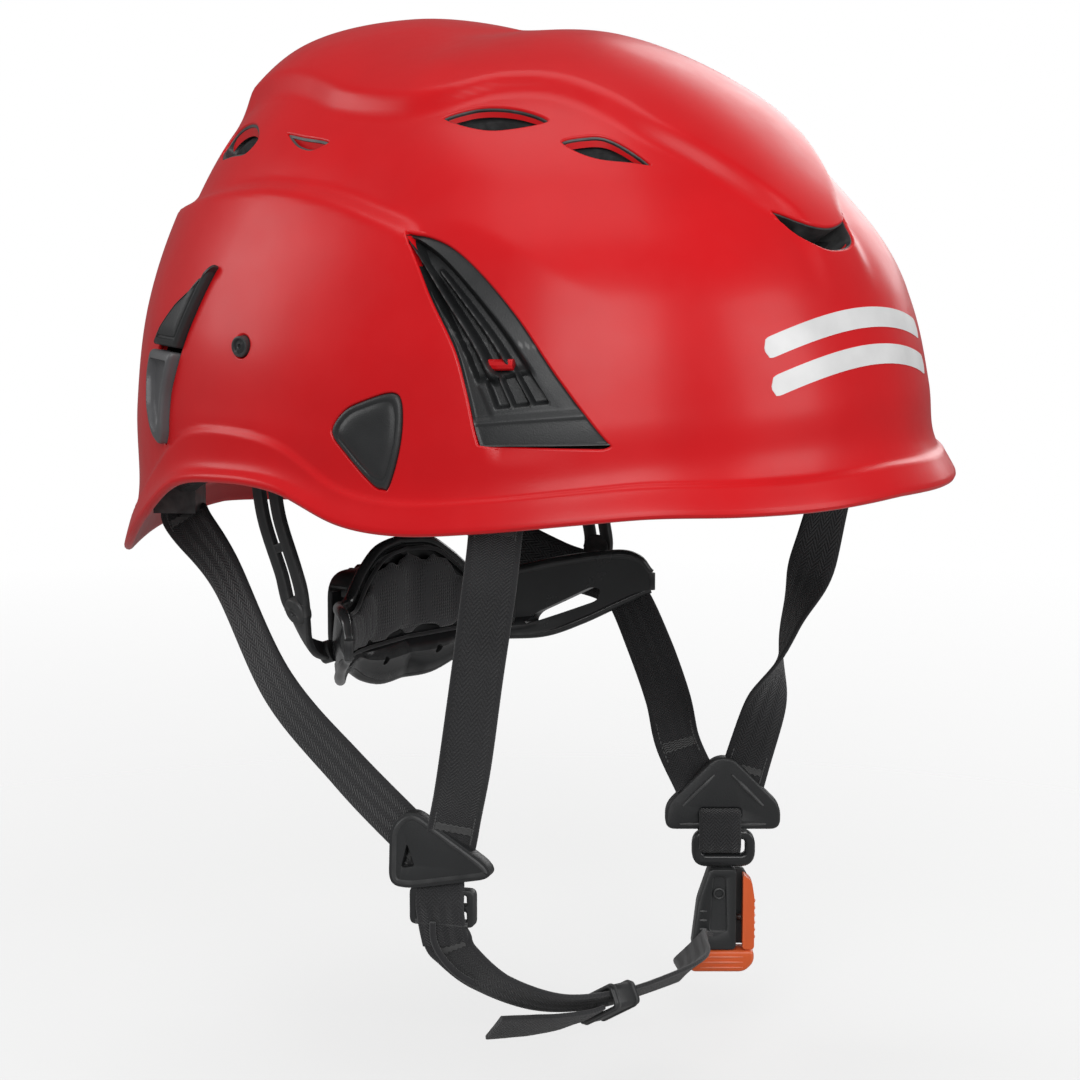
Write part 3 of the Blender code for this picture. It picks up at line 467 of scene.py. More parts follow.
def side_face(side):
    return Face((0, 0, 0), (0, 1, 0), UP, (side, 0, 0))


def top_face(side):
    return Face((0, 0, 0), (side, 0, 0), (0, 1, 0), UP)


def front_face():
    return Face((0, 0, 0), (1, 0, 0), UP, (0, -1, 0))


def clip_face(side):
    a = radians(CLIP_DIRECTION)
    return Face((0, 0, 0), (side * cos(a), sin(a), 0), UP, (side * sin(a), -cos(a), 0))


# ---------------------------------------------------------------- materials
def start_material(name):
    mat = bpy.data.materials.new(name)
    mat.use_nodes = True
    return mat, mat.node_tree, mat.node_tree.nodes["Principled BSDF"]


def add_node(tree, kind, operation=None, **inputs):
    made = tree.nodes.new(kind)
    if operation:
        made.operation = operation
    for key, value in inputs.items():
        index = int(key[1:]) if key[0] == "i" and key[1:].isdigit() else key.replace("_", " ")
        if isinstance(value, bpy.types.NodeSocket):
            tree.links.new(value, made.inputs[index])
        else:
            made.inputs[index].default_value = value
    return made


def maths(tree, operation, *values):
    inputs = {f"i{k}": value for k, value in enumerate(values)}
    return add_node(tree, "ShaderNodeMath", operation, **inputs).outputs[0]


def object_noise(tree, scale, detail=3.0, roughness=0.5):
    where = tree.nodes.get("where") or tree.nodes.new("ShaderNodeTexCoord")
    where.name = "where"
    return add_node(tree, "ShaderNodeTexNoise", Vector=where.outputs["Object"], Scale=scale, Detail=detail,
                    Roughness=roughness).outputs["Fac"]


def map_range(tree, value, low, high, to_low, to_high):
    return add_node(tree, "ShaderNodeMapRange", i0=value, i1=low, i2=high, i3=to_low, i4=to_high).outputs[0]


def mix_colour(tree, amount, one, two):
    mix = tree.nodes.new("ShaderNodeMix")
    mix.data_type = "RGBA"
    tree.links.new(amount, mix.inputs[0])
    for socket, value in ((mix.inputs[6], one), (mix.inputs[7], two)):
        if isinstance(value, bpy.types.NodeSocket):
            tree.links.new(value, socket)
        else:
            socket.default_value = (*value, 1)
    return mix.outputs[2]


def edge_wear(tree, colour, worn, amount):
    """Lighten the convex edges, unevenly."""
    geometry = tree.nodes.new("ShaderNodeNewGeometry")
    edges = map_range(tree, geometry.outputs["Pointiness"], 0.52, 0.62, 0, amount)
    patchy = map_range(tree, object_noise(tree, 160, 4), 0.35, 0.7, 0.2, 1)
    return mix_colour(tree, maths(tree, "MULTIPLY", edges, patchy), colour, worn)


def add_bump(tree, shader, height, distance, strength=1.0, under=None):
    made = add_node(tree, "ShaderNodeBump", Height=height, Strength=strength, Distance=distance)
    if under is not None:
        tree.links.new(under.outputs[0], made.inputs["Normal"])
    tree.links.new(made.outputs[0], shader.inputs["Normal"])
    return made


def moulded_plastic(name, colour, roughness, grain, depth, worn=None, coat=0.0, spread=0.08,
                    mottle=0.14, dents=0.15, specular=0.5):
    mat, tree, shader = start_material(name)
    dark = [c * (1 - mottle) for c in colour]
    light = [min(1, c * (1 + mottle)) for c in colour]
    shader.inputs["Specular IOR Level"].default_value = specular
    cloudy = mix_colour(tree, map_range(tree, object_noise(tree, 35, 5), 0.3, 0.7, 0, 1), dark, light)
    if worn:
        cloudy = edge_wear(tree, cloudy, worn, 0.55)
    tree.links.new(cloudy, shader.inputs["Base Color"])
    smudge = map_range(tree, object_noise(tree, 90, 6, 0.6), 0.3, 0.7, roughness - spread, roughness + spread)
    tree.links.new(smudge, shader.inputs["Roughness"])
    fine = add_bump(tree, shader, object_noise(tree, grain, 2), depth)
    add_bump(tree, shader, object_noise(tree, 60, 2), 0.0004, dents, fine)
    if coat:
        shader.inputs["Coat Weight"].default_value = coat
        shader.inputs["Coat Roughness"].default_value = 0.2
    return mat


def webbing_material(name, dark, light):
    """Herringbone weave with a plainer edge; the strap attribute holds across and along in millimetres."""
    mat, tree, shader = start_material(name)
    at = tree.nodes.new("ShaderNodeAttribute")
    at.attribute_name = "strap"
    parts = add_node(tree, "ShaderNodeSeparateXYZ", Vector=at.outputs["Vector"])
    across, along = parts.outputs[0], parts.outputs[1]
    phase = maths(tree, "ADD", maths(tree, "PINGPONG", across, 2.0), along)
    wave = maths(tree, "SINE", maths(tree, "MULTIPLY", phase, 2 * pi / 1.15))
    picks = maths(tree, "SINE", maths(tree, "MULTIPLY", along, 2 * pi / 0.62))
    weave = maths(tree, "MULTIPLY_ADD", picks, 0.3, wave)
    edge = map_range(tree, maths(tree, "ABSOLUTE", across), 6.3, 6.9, 1, 0.25)
    height = maths(tree, "MULTIPLY", weave, edge)
    fuzz = object_noise(tree, 2600, 3, 0.7)
    shade = maths(tree, "MULTIPLY_ADD", height, 0.28, fuzz)
    colour = mix_colour(tree, map_range(tree, shade, 0.1, 0.95, 0, 1), dark, light)
    worn = map_range(tree, object_noise(tree, 45, 4), 0.35, 0.75, 0, 0.35)
    faded = mix_colour(tree, worn, colour, [min(1, c * 1.7) for c in light])
    tree.links.new(faded, shader.inputs["Base Color"])
    tree.links.new(map_range(tree, fuzz, 0.3, 0.7, 0.62, 0.85), shader.inputs["Roughness"])
    shader.inputs["Sheen Weight"].default_value = 0.25
    shader.inputs["Specular IOR Level"].default_value = 0.35
    under = add_bump(tree, shader, fuzz, 0.00005)
    add_bump(tree, shader, height, 0.00016, 0.8, under)
    return mat


def foam_material(name, colour, cell):
    """Moulded bead foam: flat cells pressed against each other."""
    mat, tree, shader = start_material(name)
    where = tree.nodes.new("ShaderNodeTexCoord")
    cells = add_node(tree, "ShaderNodeTexVoronoi", Vector=where.outputs["Object"], Scale=1 / (cell * MM))
    tone = map_range(tree, cells.outputs["Distance"], 0.1, 0.6, 0, 1)
    mixed = mix_colour(tree, tone, [c * 1.35 for c in colour], [c * 0.6 for c in colour])
    tree.links.new(mixed, shader.inputs["Base Color"])
    tree.links.new(map_range(tree, object_noise(tree, 700), 0.3, 0.7, 0.7, 0.92), shader.inputs["Roughness"])
    height = map_range(tree, cells.outputs["Distance"], 0, 0.6, 1, 0)
    add_bump(tree, shader, height, 0.0003, 0.6)
    return mat


def pad_material(name, colour, pitch):
    """Knitted cover with small open cells, over foam."""
    mat, tree, shader = start_material(name)
    where = tree.nodes.new("ShaderNodeTexCoord")
    cells = add_node(tree, "ShaderNodeTexVoronoi", Vector=where.outputs["Object"], Scale=1 / (pitch * MM),
                     Randomness=0.25)
    holes = map_range(tree, cells.outputs["Distance"], 0.15, 0.5, 0, 1)
    fuzz = object_noise(tree, 2200, 4, 0.7)
    knit = mix_colour(tree, holes, [c * 0.45 for c in colour], [c * 1.25 for c in colour])
    worn = mix_colour(tree, map_range(tree, fuzz, 0.3, 0.7, 0, 0.4), knit, [c * 1.8 for c in colour])
    tree.links.new(worn, shader.inputs["Base Color"])
    tree.links.new(map_range(tree, fuzz, 0.3, 0.7, 0.8, 0.98), shader.inputs["Roughness"])
    shader.inputs["Sheen Weight"].default_value = 0.35
    under = add_bump(tree, shader, fuzz, 0.00006)
    add_bump(tree, shader, holes, 0.0003, 0.7, under)
    return mat


def metal_material(name, colour, roughness):
    mat, tree, shader = start_material(name)
    shader.inputs["Metallic"].default_value = 1.0
    drawn = object_noise(tree, 3000, 2)
    tree.links.new(mix_colour(tree, drawn, [c * 0.8 for c in colour], colour), shader.inputs["Base Color"])
    polish = map_range(tree, drawn, 0.3, 0.7, roughness - 0.08, roughness + 0.08)
    tree.links.new(polish, shader.inputs["Roughness"])
    add_bump(tree, shader, drawn, 0.00002)
    return mat


def make_materials():
    grey = (0.22, 0.22, 0.22)
    return {
        "shell": moulded_plastic("shell_red", (0.68, 0.006, 0.010), 0.36, 1800, 0.000012, coat=0.12,
                                 spread=0.04, mottle=0.04, dents=0.03, specular=0.3),
        "decal": moulded_plastic("decal_white", (0.82, 0.82, 0.82), 0.4, 2400, 0.00002),
        "liner": foam_material("liner_black", (0.022, 0.022, 0.023), 3.2),
        "satin": moulded_plastic("satin_black", (0.022, 0.023, 0.024), 0.42, 2200, 0.00005, grey),
        "gloss": moulded_plastic("gloss_black", (0.02, 0.021, 0.022), 0.22, 900, 0.00001, grey),
        "grey": moulded_plastic("worn_black", (0.10, 0.10, 0.105), 0.38, 2200, 0.00004, grey),
        "foam": pad_material("pad_grey", (0.035, 0.035, 0.037), 1.1),
        "web": webbing_material("webbing_black", (0.007, 0.007, 0.008), (0.03, 0.03, 0.032)),
        "orange": moulded_plastic("orange", (0.80, 0.13, 0.03), 0.36, 2000, 0.00004, (0.95, 0.45, 0.3)),
        "steel": metal_material("spring_steel", (0.6, 0.6, 0.6), 0.3),
        "thread": moulded_plastic("thread", (0.09, 0.09, 0.09), 0.75, 5000, 0.00004),
    }


# ---------------------------------------------------------------- shell group
def mirrored_ring(around, surface, t, offset):
    """One ring of points; the right half is worked out and the left half mirrors it."""
    half = around // 2
    ring = [None] * around
    for i in range(half + 1):
        theta = 2 * pi * i / around
        p = surface(theta, t)
        amount = offset(p) if callable(offset) else offset
        if amount:
            p = p + normal_of(plain_surface, theta, t) * amount
        ring[i] = p
        if 0 < i < half:
            ring[around - i] = Vector((-p.x, p.y, p.z))
    return ring


def dome_layer(around, down, surface, offset, t_end=1.0):
    return [mirrored_ring(around, surface, t_end * j / down, offset) for j in range(1, down + 1)]


def dome_solid(name, mat, outer_top, inner_top, outer, inner):
    """Closed dome from two layers of rings, joined round their lower edge by a rounded lip."""
    around = len(outer[0])
    steps = 5
    edge = []
    for k in range(1, steps):
        a = pi * k / steps
        ring = []
        for i in range(around):
            o, n = outer[-1][i], inner[-1][i]
            down = (outer[-1][i] - outer[-2][i]).normalized()
            ring.append((o + n) / 2 + (o - n) / 2 * cos(a) + down * (o - n).length / 2 * sin(a))
        edge.append(ring)
    bm = bmesh.new()
    rows = [[bm.verts.new(p) for p in ring] for ring in outer + edge + list(reversed(inner))]
    grid_faces(bm, rows, closed_columns=True)
    fan(bm, (0, 0, outer_top), rows[0])
    fan(bm, (0, 0, inner_top), rows[-1])
    return finish_mesh(name, bm, mat)


def aim_at(rings):
    """Search tree of the outer surface, before any opening is cut in it."""
    around = len(rings[0])
    points = [Vector((0, 0, CROWN_Z))] + [p for ring in rings for p in ring]
    faces = [(0, 1 + i, 1 + (i + 1) % around) for i in range(around)]
    for j in range(len(rings) - 1):
        for i in range(around):
            n = (i + 1) % around
            here, below = 1 + j * around, 1 + (j + 1) * around
            faces.append((here + i, below + i, below + n, here + n))
    return BVHTree.FromPolygons(points, faces)


def smooth_path(points, steps):
    return [tuple(catmull(points, k / steps)) for k in range(steps + 1)]


def window_outline():
    front = smooth_path(WINDOW_FRONT, 30)
    rear = smooth_path(WINDOW_REAR, 30)
    return rounded_outline(front + [WINDOW_CORNER] + list(reversed(rear[1:])), 1.4, 3)


def closed_smooth(points, steps=6):
    """Closed smooth curve through an outline's points."""
    count = len(points)
    result = []
    for i in range(count):
        p0, p1, p2, p3 = (Vector(points[k % count]) for k in (i - 1, i, i + 1, i + 2))
        for k in range(steps):
            f = k / steps
            result.append(tuple(0.5 * (2 * p1 + (p2 - p0) * f + (2 * p0 - 5 * p1 + 4 * p2 - p3) * f * f
                                       + (3 * p1 - p0 - 3 * p2 + p3) * f ** 3)))
    return result


def vent_list():
    """Each vent of the crown and forehead: its outline, and the view it is drawn in."""
    vents = [(outline, top_face(side)) for side in SIDES.values() for outline in TOP_VENTS]
    return vents + [(FRONT_VENT, front_face())]


def opening_list():
    """Every opening of the shell: outline, the view it is drawn in, and where its cut starts and stops."""
    result = []
    for side in SIDES.values():
        result.append((window_outline(), side_face(side), 60, 140))
        result.append((closed_smooth(PLUG), side_face(side), 60, 140))
        rivet = [(RIVET_YZ[0] + a, RIVET_YZ[1] + b) for a, b in circle(RIVET_RADIUS, 32)]
        result.append((rivet, side_face(side), 60, 140))
        result.append((rounded_outline(CLIP_OPENING, 1.5), clip_face(side), 80, 160))
    return result + [(closed_smooth(outline, 5), face, 60, 170) for outline, face in vent_list()]


def cut_openings(obj, openings):
    bm = bmesh.new()
    for outline, face, near, far in openings:
        prism(bm, outline, face.origin, face.u, face.v, face.w, near, far)
    cut(obj, finish_mesh("cutter", bm, obj.data.materials[0]))


def bead(bm, outline, face, radius):
    """Rolled edge round an opening, tangent to the shell's outside."""
    points = []
    normals = []
    for a, b in even_outline(outline, 1.6):
        on = face.land(a, b)
        normal = (face.land(a, b, 1.0) - on).normalized()
        points.append(on - normal * radius * 0.97)
        normals.append(normal)
    tube(bm, points, radius, closed=True, sides=12, normals=normals)


def build_shell(mats, openings):
    global TARGET
    around, down = (400, 136) if FINE else (200, 64)
    outer = dome_layer(around, down, shell_surface, 0)
    TARGET = aim_at(outer)
    inner = dome_layer(around, down, shell_surface, -SHELL_WALL)
    shell = dome_solid("shell", mats["shell"], CROWN_Z, CROWN_Z - SHELL_WALL, outer, inner)
    cut_openings(shell, openings)
    bm = bmesh.new()
    for outline, face, _, _ in openings:
        bead(bm, outline, face, 0.8)
    for side in SIDES.values():
        window_bar(bm, side_face(side))
    join(shell, finish_mesh("edges", bm, mats["shell"]))
    place(shell, "helmet", "shell_red", "outer_shell")


def build_vent_linings(mats):
    """Dark collar in each vent of the crown, between the shell and the foam."""
    bm = bmesh.new()
    for outline, face in vent_list():
        shape = closed_smooth(outline, 5)
        rings = []
        for inset, offset in ((0.1, -1.0), (0.5, -0.6), (1.0, -1.0), (1.2, -10.5), (0.1, -10.5)):
            rings.append([bm.verts.new(face.land(a, b, offset)) for a, b in inset_outline(shape, inset)])
        grid_faces(bm, rings, closed_rows=True, closed_columns=True)
    place(finish_mesh("vent_linings", bm, mats["satin"]), "helmet", "satin_black")


def window_bar(bm, face):
    """Short bar of the shell across the grille's slot."""
    start = window_point(0.60, 0.40)
    end = window_point(0.58, 0.70)
    points = [face.land(start[0] + (end[0] - start[0]) * f, start[1] + (end[1] - start[1]) * f, -2.6)
              for f in (0, 0.25, 0.5, 0.75, 1)]
    tube(bm, points, 1.7, sides=10)


def join(obj, other):
    """Add another object's mesh to an object's."""
    bm = bmesh.new()
    bm.from_mesh(obj.data)
    bm.from_mesh(other.data)
    bm.to_mesh(obj.data)
    bm.free()
    obj.data.shade_smooth()
    obj.data.set_sharp_from_angle(angle=radians(35))
    bpy.data.objects.remove(other)


def place(obj, body, slot=None, *nodes):
    """Let a finished piece ride on its body and stand for its nodes, whose model meshes it hides; slot is not
    used.
    """
    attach(obj, body)
    if nodes:
        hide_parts(*nodes)
    return obj


def build_liner(mats):
    around, down = (200, 64) if FINE else (120, 36)

    def channels(p):
        groove = max(bump(abs(p.x), 24, 7), bump(abs(p.x), 58, 6)) * smoothstep(25, 45, p.z)
        return LINER_INNER + 5 * groove

    outer = dome_layer(around, down, plain_surface, LINER_TOP, LINER_END)
    inner = dome_layer(around, down, plain_surface, channels, LINER_END)
    liner = dome_solid("liner", mats["liner"], CROWN_Z + LINER_TOP, CROWN_Z + LINER_INNER, outer, inner)
    cut_openings(liner, [(closed_smooth(outline, 4), face, 60, 170) for outline, face in vent_list()])
    place(liner, "helmet", "liner_black", "impact_liner")


SHELL_RADIUS = 115      # of the shell's side, about


def window_point(s, u):
    """Point of the side window: s from tip (0) to sill (1), u from front edge (0) to rear edge (1)."""
    return catmull(WINDOW_FRONT, s).lerp(catmull(WINDOW_REAR, s), u)


def grille_height(s, u):
    """How far the grille's face stands from the shell's surface at a place in the window."""
    edge = min(u, 1 - u)
    rib_one = bump(u, 0.86 - 0.30 * s, 0.085) * smoothstep(0.66, 0.60, s)
    rib_two = bump(u, 0.70 - 0.42 * s, 0.07) * smoothstep(0.2, 0.26, s) * smoothstep(0.64, 0.58, s)
    front = smoothstep(0.52 - 0.34 * s, 0.42 - 0.34 * s, u)
    rear = smoothstep(0.96 - 0.22 * s, 1.0 - 0.22 * s, u)
    height = -6.0
    if s > 0.6:
        louvre = smoothstep(0.25, 0.28, u) * smoothstep(0.76, 0.73, u) * smoothstep(0.62, 0.64, s)
        louvre *= smoothstep(0.76, 0.74, s)
        bars = max(bump(u, 0.42, 0.035), bump(u, 0.6, 0.035))
        low = -1.6 - 4.4 * louvre * (1 - bars)
        height = height + (low - height) * smoothstep(0.60, 0.66, s)
    height = height + (-1.5 - height) * front
    height = height + (-2.0 - height) * rear
    height = height + (-0.9 - height) * rib_two
    height = height + (0.1 - height) * rib_one
    sill = smoothstep(0.78, 0.81, s)
    height = height + (-0.9 + 0.35 * bump(s, 0.82, 0.014) - height) * sill
    rim = smoothstep(0.05, 0.02, edge) + smoothstep(0.975, 0.985, s)
    return height + (-0.35 - height) * min(1, rim)


def build_grille(label, side, mats):
    along, across = (120, 72) if FINE else (70, 40)
    face = side_face(side)
    bm = bmesh.new()
    rows = []
    for i in range(along + 1):
        s = 0.035 + 0.955 * i / along
        front, rear = (face.land(*window_point(s, u)) for u in (-0.12, 1.04))
        normals = [face.land(*window_point(s, u), 1.0) - p for u, p in ((-0.12, front), (1.04, rear))]
        out = (normals[0] + normals[1]).normalized()
        arch = (front - rear).length ** 2 / (8 * SHELL_RADIUS)
        row = []
        for j in range(across + 1):
            u = 0.03 + 0.94 * j / across
            share = (u + 0.12) / 1.16
            base = front.lerp(rear, share) + out * arch * 4 * share * (1 - share)
            row.append(bm.verts.new(base + out * grille_height(s, u)))
        rows.append(row)
    grid_faces(bm, rows)
    close_back(bm, rows, face.w * -9)
    grille = finish_mesh("grille_" + label, bm, mats["satin"], 50)
    place(grille, "helmet", "satin_black", "side_grille_" + label)


def close_back(bm, rows, shift):
    """Close an open grid with a plain back at a distance behind its edge."""
    edge = list(rows[0]) + [r[-1] for r in rows[1:]] + list(reversed(rows[-1][:-1]))
    edge += [r[0] for r in reversed(rows[1:-1])]
    back = [bm.verts.new(v.co + shift) for v in edge]
    grid_faces(bm, [edge, back], closed_columns=True)
    bm.faces.new(back)


def dome_insert(name, outline, face, profile, mat, inset, base=-2.8):
    """Piece that fills an opening: rings step in from the outline and rise over the shell, then close."""
    shape = even_outline(inset_outline(outline, inset), 1.2)
    middle = Vector((sum(p[0] for p in shape) / len(shape), sum(p[1] for p in shape) / len(shape)))
    reach = sum((Vector(p) - middle).length for p in shape) / len(shape)
    bm = bmesh.new()
    rings = []
    for inward, offset in [(0, base)] + list(profile):
        f = inward / reach
        rings.append([bm.verts.new(face.land(*(Vector(p).lerp(middle, f)), offset)) for p in shape])
    grid_faces(bm, rings, closed_columns=True)
    fan(bm, face.land(*middle, profile[-1][1]), rings[-1])
    fan(bm, face.land(*middle, base), rings[0])
    return finish_mesh(name, bm, mat)


# Insert faces: (distance in from the outline, height over the shell).
PLUG_PROFILE = [(0, -0.6), (0.15, -0.15), (0.5, 0.25), (1.0, 0.45), (1.8, 0.5), (2.2, 0.3), (2.6, 0.32),
                (3.2, 0.7), (4.5, 1.0), (6, 1.15), (8, 1.25)]
BASE_PROFILE = [(0, 1.4), (0.2, 2.0), (0.7, 2.5), (1.4, 2.8), (2.2, 2.9), (2.6, 2.5), (3.2, 2.5), (3.6, 3.0),
                (5, 3.3), (7, 3.4)]
LEVER_PROFILE = [(0, 1.6), (0.2, 2.3), (0.7, 2.9), (1.5, 3.2), (2.6, 3.3), (3.0, 2.2), (4.2, 1.2), (4.6, 1.1),
                 (6, 1.0)]


def build_inserts(mats):
    for label, side in SIDES.items():
        build_grille(label, side, mats)
        plug = dome_insert("plug_" + label, closed_smooth(PLUG), side_face(side), PLUG_PROFILE, mats["satin"],
                           0.85)
        place(plug, "helmet", "satin_black", "accessory_plug_" + label)
        base = dome_insert("clip_base_" + label, rounded_outline(CLIP_BASE, 1.5), clip_face(side),
                           BASE_PROFILE, mats["satin"], 0.75)
        place(base, "helmet", "satin_black", "lamp_clip_base_" + label)
        lever = dome_insert("clip_lever_" + label, rounded_outline(CLIP_LEVER, 2.5), clip_face(side),
                            LEVER_PROFILE, mats["grey"], 0.75)
        place(lever, "lamp_lever_" + label, "gloss_black", "lamp_clip_lever_" + label)
        build_rivet(label, side, mats)


def turned(bm, centre, axis, profile, count=40):
    """Turned piece: profile is (distance along the axis, radius)."""
    axis = Vector(axis).normalized()
    u = axis.orthogonal().normalized()
    v = axis.cross(u)
    rows = [[bm.verts.new(Vector(centre) + axis * x + (u * cos(a) + v * sin(a)) * r)
             for a in turns(count)] for x, r in profile]
    loft(bm, rows)


def build_rivet(label, side, mats):
    low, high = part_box("side_rivet_" + label)
    centre = (low + high) / 2 / MM
    centre.x = (high.x if side > 0 else low.x) / MM
    r = RIVET_RADIUS - 0.9
    profile = [(-4, r), (-0.2, r), (0.25, r - 0.15), (0.45, r - 0.5), (0.4, r - 1.0), (0.0, r - 1.25),
               (0.0, r - 1.5), (0.15, 0.9), (0.0, 0.7), (-0.3, 0.6), (-0.3, 0.05)]
    bm = bmesh.new()
    turned(bm, centre, (side, 0, 0), profile)
    place(finish_mesh("rivet_" + label, bm, mats["satin"]), "helmet", "satin_black", "side_rivet_" + label)


BAR_HALF = 43
BAR_HEIGHT = 6
BAR_LOWS = (50.5, 61.5)
BAR_DROP = 7            # how much lower a bar's ends are than its middle


def build_forehead_bars(mats):
    """Two plain reflective bars stuck to the forehead."""
    face = front_face()
    bm = bmesh.new()
    for low in BAR_LOWS:
        outline = rounded_outline(rectangle(-BAR_HALF, BAR_HALF, low, low + BAR_HEIGHT), 2.5)
        steps = 2 * BAR_HALF
        rows = []
        for i in range(steps + 1):
            x = -BAR_HALF + i
            bottom, top = crossings(outline, x)
            drop = BAR_DROP * (x / BAR_HALF) ** 2
            row = [face.land(x, bottom + (top - bottom) * k / 4 - drop, 0.18) for k in range(5)]
            rows.append([bm.verts.new(p) for p in row])
        grid_faces(bm, rows)
        close_back(bm, rows, Vector((0, 0.6, 0)))
    place(finish_mesh("forehead_bars", bm, mats["decal"]), "helmet")


def crossings(outline, x):
    """Lowest and highest place where the upright line at x meets a convex outline."""
    found = []
    count = len(outline)
    for i in range(count):
        (x1, y1), (x2, y2) = outline[i], outline[(i + 1) % count]
        if min(x1, x2) <= x <= max(x1, x2):
            f = 0 if abs(x2 - x1) < 1e-9 else (x - x1) / (x2 - x1)
            found.append(y1 + (y2 - y1) * f)
    return min(found), max(found)


# ---------------------------------------------------------------- webbing
STRAP_PROFILE = [(-0.5, 0), (-0.492, 0.3), (-0.46, 0.48), (-0.25, 0.5), (0, 0.5), (0.25, 0.5), (0.46, 0.48),
                 (0.492, 0.3), (0.5, 0), (0.492, -0.3), (0.46, -0.48), (0.25, -0.5), (0, -0.5), (-0.25, -0.5),
                 (-0.46, -0.48), (-0.492, -0.3)]


class Route:
    """A strap's path: its place, width direction and face direction along the way."""

    def __init__(self, points, sides):
        self.points, self.sides = points, sides
        self.length = sum((catmull(points, (k + 1) / 64) - catmull(points, k / 64)).length for k in range(64))

    def at(self, t):
        p = catmull(self.points, t)
        ahead, behind = catmull(self.points, min(t + 0.005, 1)), catmull(self.points, max(t - 0.005, 0))
        along = (ahead - behind).normalized()
        across = catmull(self.sides, t)
        across = (across - along * across.dot(along)).normalized()
        return p, along, across, along.cross(across)


def strap_mesh(bm, route, width, thick, shift=0.0, t_range=(0, 1), wave=0.0):
    """Add one strip of webbing to a bmesh, with its strap attribute; width may change along it."""
    layer = bm.verts.layers.float_vector.get("strap") or bm.verts.layers.float_vector.new("strap")
    steps = max(8, int(route.length * (t_range[1] - t_range[0]) / 1.6))
    rows = []
    for k in range(steps + 1):
        t = t_range[0] + (t_range[1] - t_range[0]) * k / steps
        p, _, across, out = route.at(t)
        broad = width(t) if callable(width) else width
        ripple = 1 + wave * sin(t * route.length / 5.5)
        row = []
        for a, b in STRAP_PROFILE:
            cup = 0.4 * a * a
            vert = bm.verts.new(p + across * (a * broad * ripple + shift) + out * (b + cup - 0.05) * thick)
            vert[layer] = (a * broad, t * route.length, b)
            row.append(vert)
        rows.append(row)
    loft(bm, rows)


STITCH_PITCH = 1.7
BAR_TACK = (5.6, 5, 0.8)        # half width, rows and row spacing of a bar of stitches


def stitch_run(bm, route, t_range, across, side):
    """Row of stitches lying on one face of a strap."""
    count = max(2, int(route.length * abs(t_range[1] - t_range[0]) / STITCH_PITCH))
    for k in range(count):
        t = t_range[0] + (t_range[1] - t_range[0]) * (k + 0.5) / count
        p, along, sideways, out = route.at(t)
        middle = p + sideways * across + out * side * (WEBBING_THICK / 2 + 0.05)
        ends = [middle + along * STITCH_PITCH * f - out * side * abs(f) * 0.35
                for f in (-0.36, -0.18, 0, 0.18, 0.36)]
        tube(bm, ends, [0.12, 0.24, 0.28, 0.24, 0.12], sides=6, normals=[out] * 5)


def stitch_bar(bm, route, t, side):
    """Dense bar of stitches across a strap."""
    half, rows, pitch = BAR_TACK
    for r in range(rows):
        p, along, sideways, out = route.at(t + (r - rows / 2) * pitch / route.length)
        start = p + out * side * (WEBBING_THICK / 2 + 0.05)
        points = [start + sideways * half * f + along * 0.25 * (-1) ** k
                  for k, f in enumerate(x / 6 for x in range(-6, 7))]
        tube(bm, points, 0.27, sides=6, normals=[out] * len(points))


# How far along each strap its bars of stitches are.
BAR_TACKS = {"front_strap_right": (0.16, 0.86), "front_strap_left": (0.16, 0.87),
             "rear_strap_right": (0.14, 0.89), "rear_strap_left": (0.1, 0.9), "chin_strap": (0.08,)}


def strap_routes():
    """Every strap's route; the left rear strap is one piece, and each strap reaches into what holds it."""
    joined = dict(STRAPS)
    upper, lower = joined.pop("rear_strap_left_upper"), joined.pop("rear_strap_left_lower")
    joined["rear_strap_left"] = (upper[0] + lower[0], upper[1] + [(0.3, -0.5, 0.7)] + lower[1][1:])
    routes = {}
    for name, (points, sides) in joined.items():
        first = [STRAP_STARTS[name]] if name in STRAP_STARTS else []
        last = [STRAP_ENDS[name]] if name in STRAP_ENDS else []
        routes[name] = Route(first + points + last, sides)
    return routes


def build_links(mats):
    """Webbing through the ladder lock, and the loop that ties the left divider to the buckle."""
    bm = bmesh.new()
    strap_mesh(bm, Route(LADDER_WEB, [tuple(RIGHT_ACROSS)] * 2), WEBBING - 0.4, WEBBING_THICK)
    place(finish_mesh("ladder_web", bm, mats["web"], 60), "helmet", "webbing_black")
    half = [(0, -116.4), (4.2, -118.6), (4.6, -123.5), (4.2, -129.4), (0, -131.9)]
    ring = half + [(-a, b) for a, b in reversed(half[1:-1])] + half[:1]
    at = DIVIDERS["left"] - BUCKLE_RIGHT
    points = [tuple(Vector((at.x, at.y, 0)) + BUCKLE_FACE * a + UP * b) for a, b in ring]
    bm = bmesh.new()
    strap_mesh(bm, Route(points, [tuple(BUCKLE_RIGHT)] * 2), 14.6, WEBBING_THICK)
    place(finish_mesh("buckle_web", bm, mats["web"], 60), "helmet", "webbing_black")


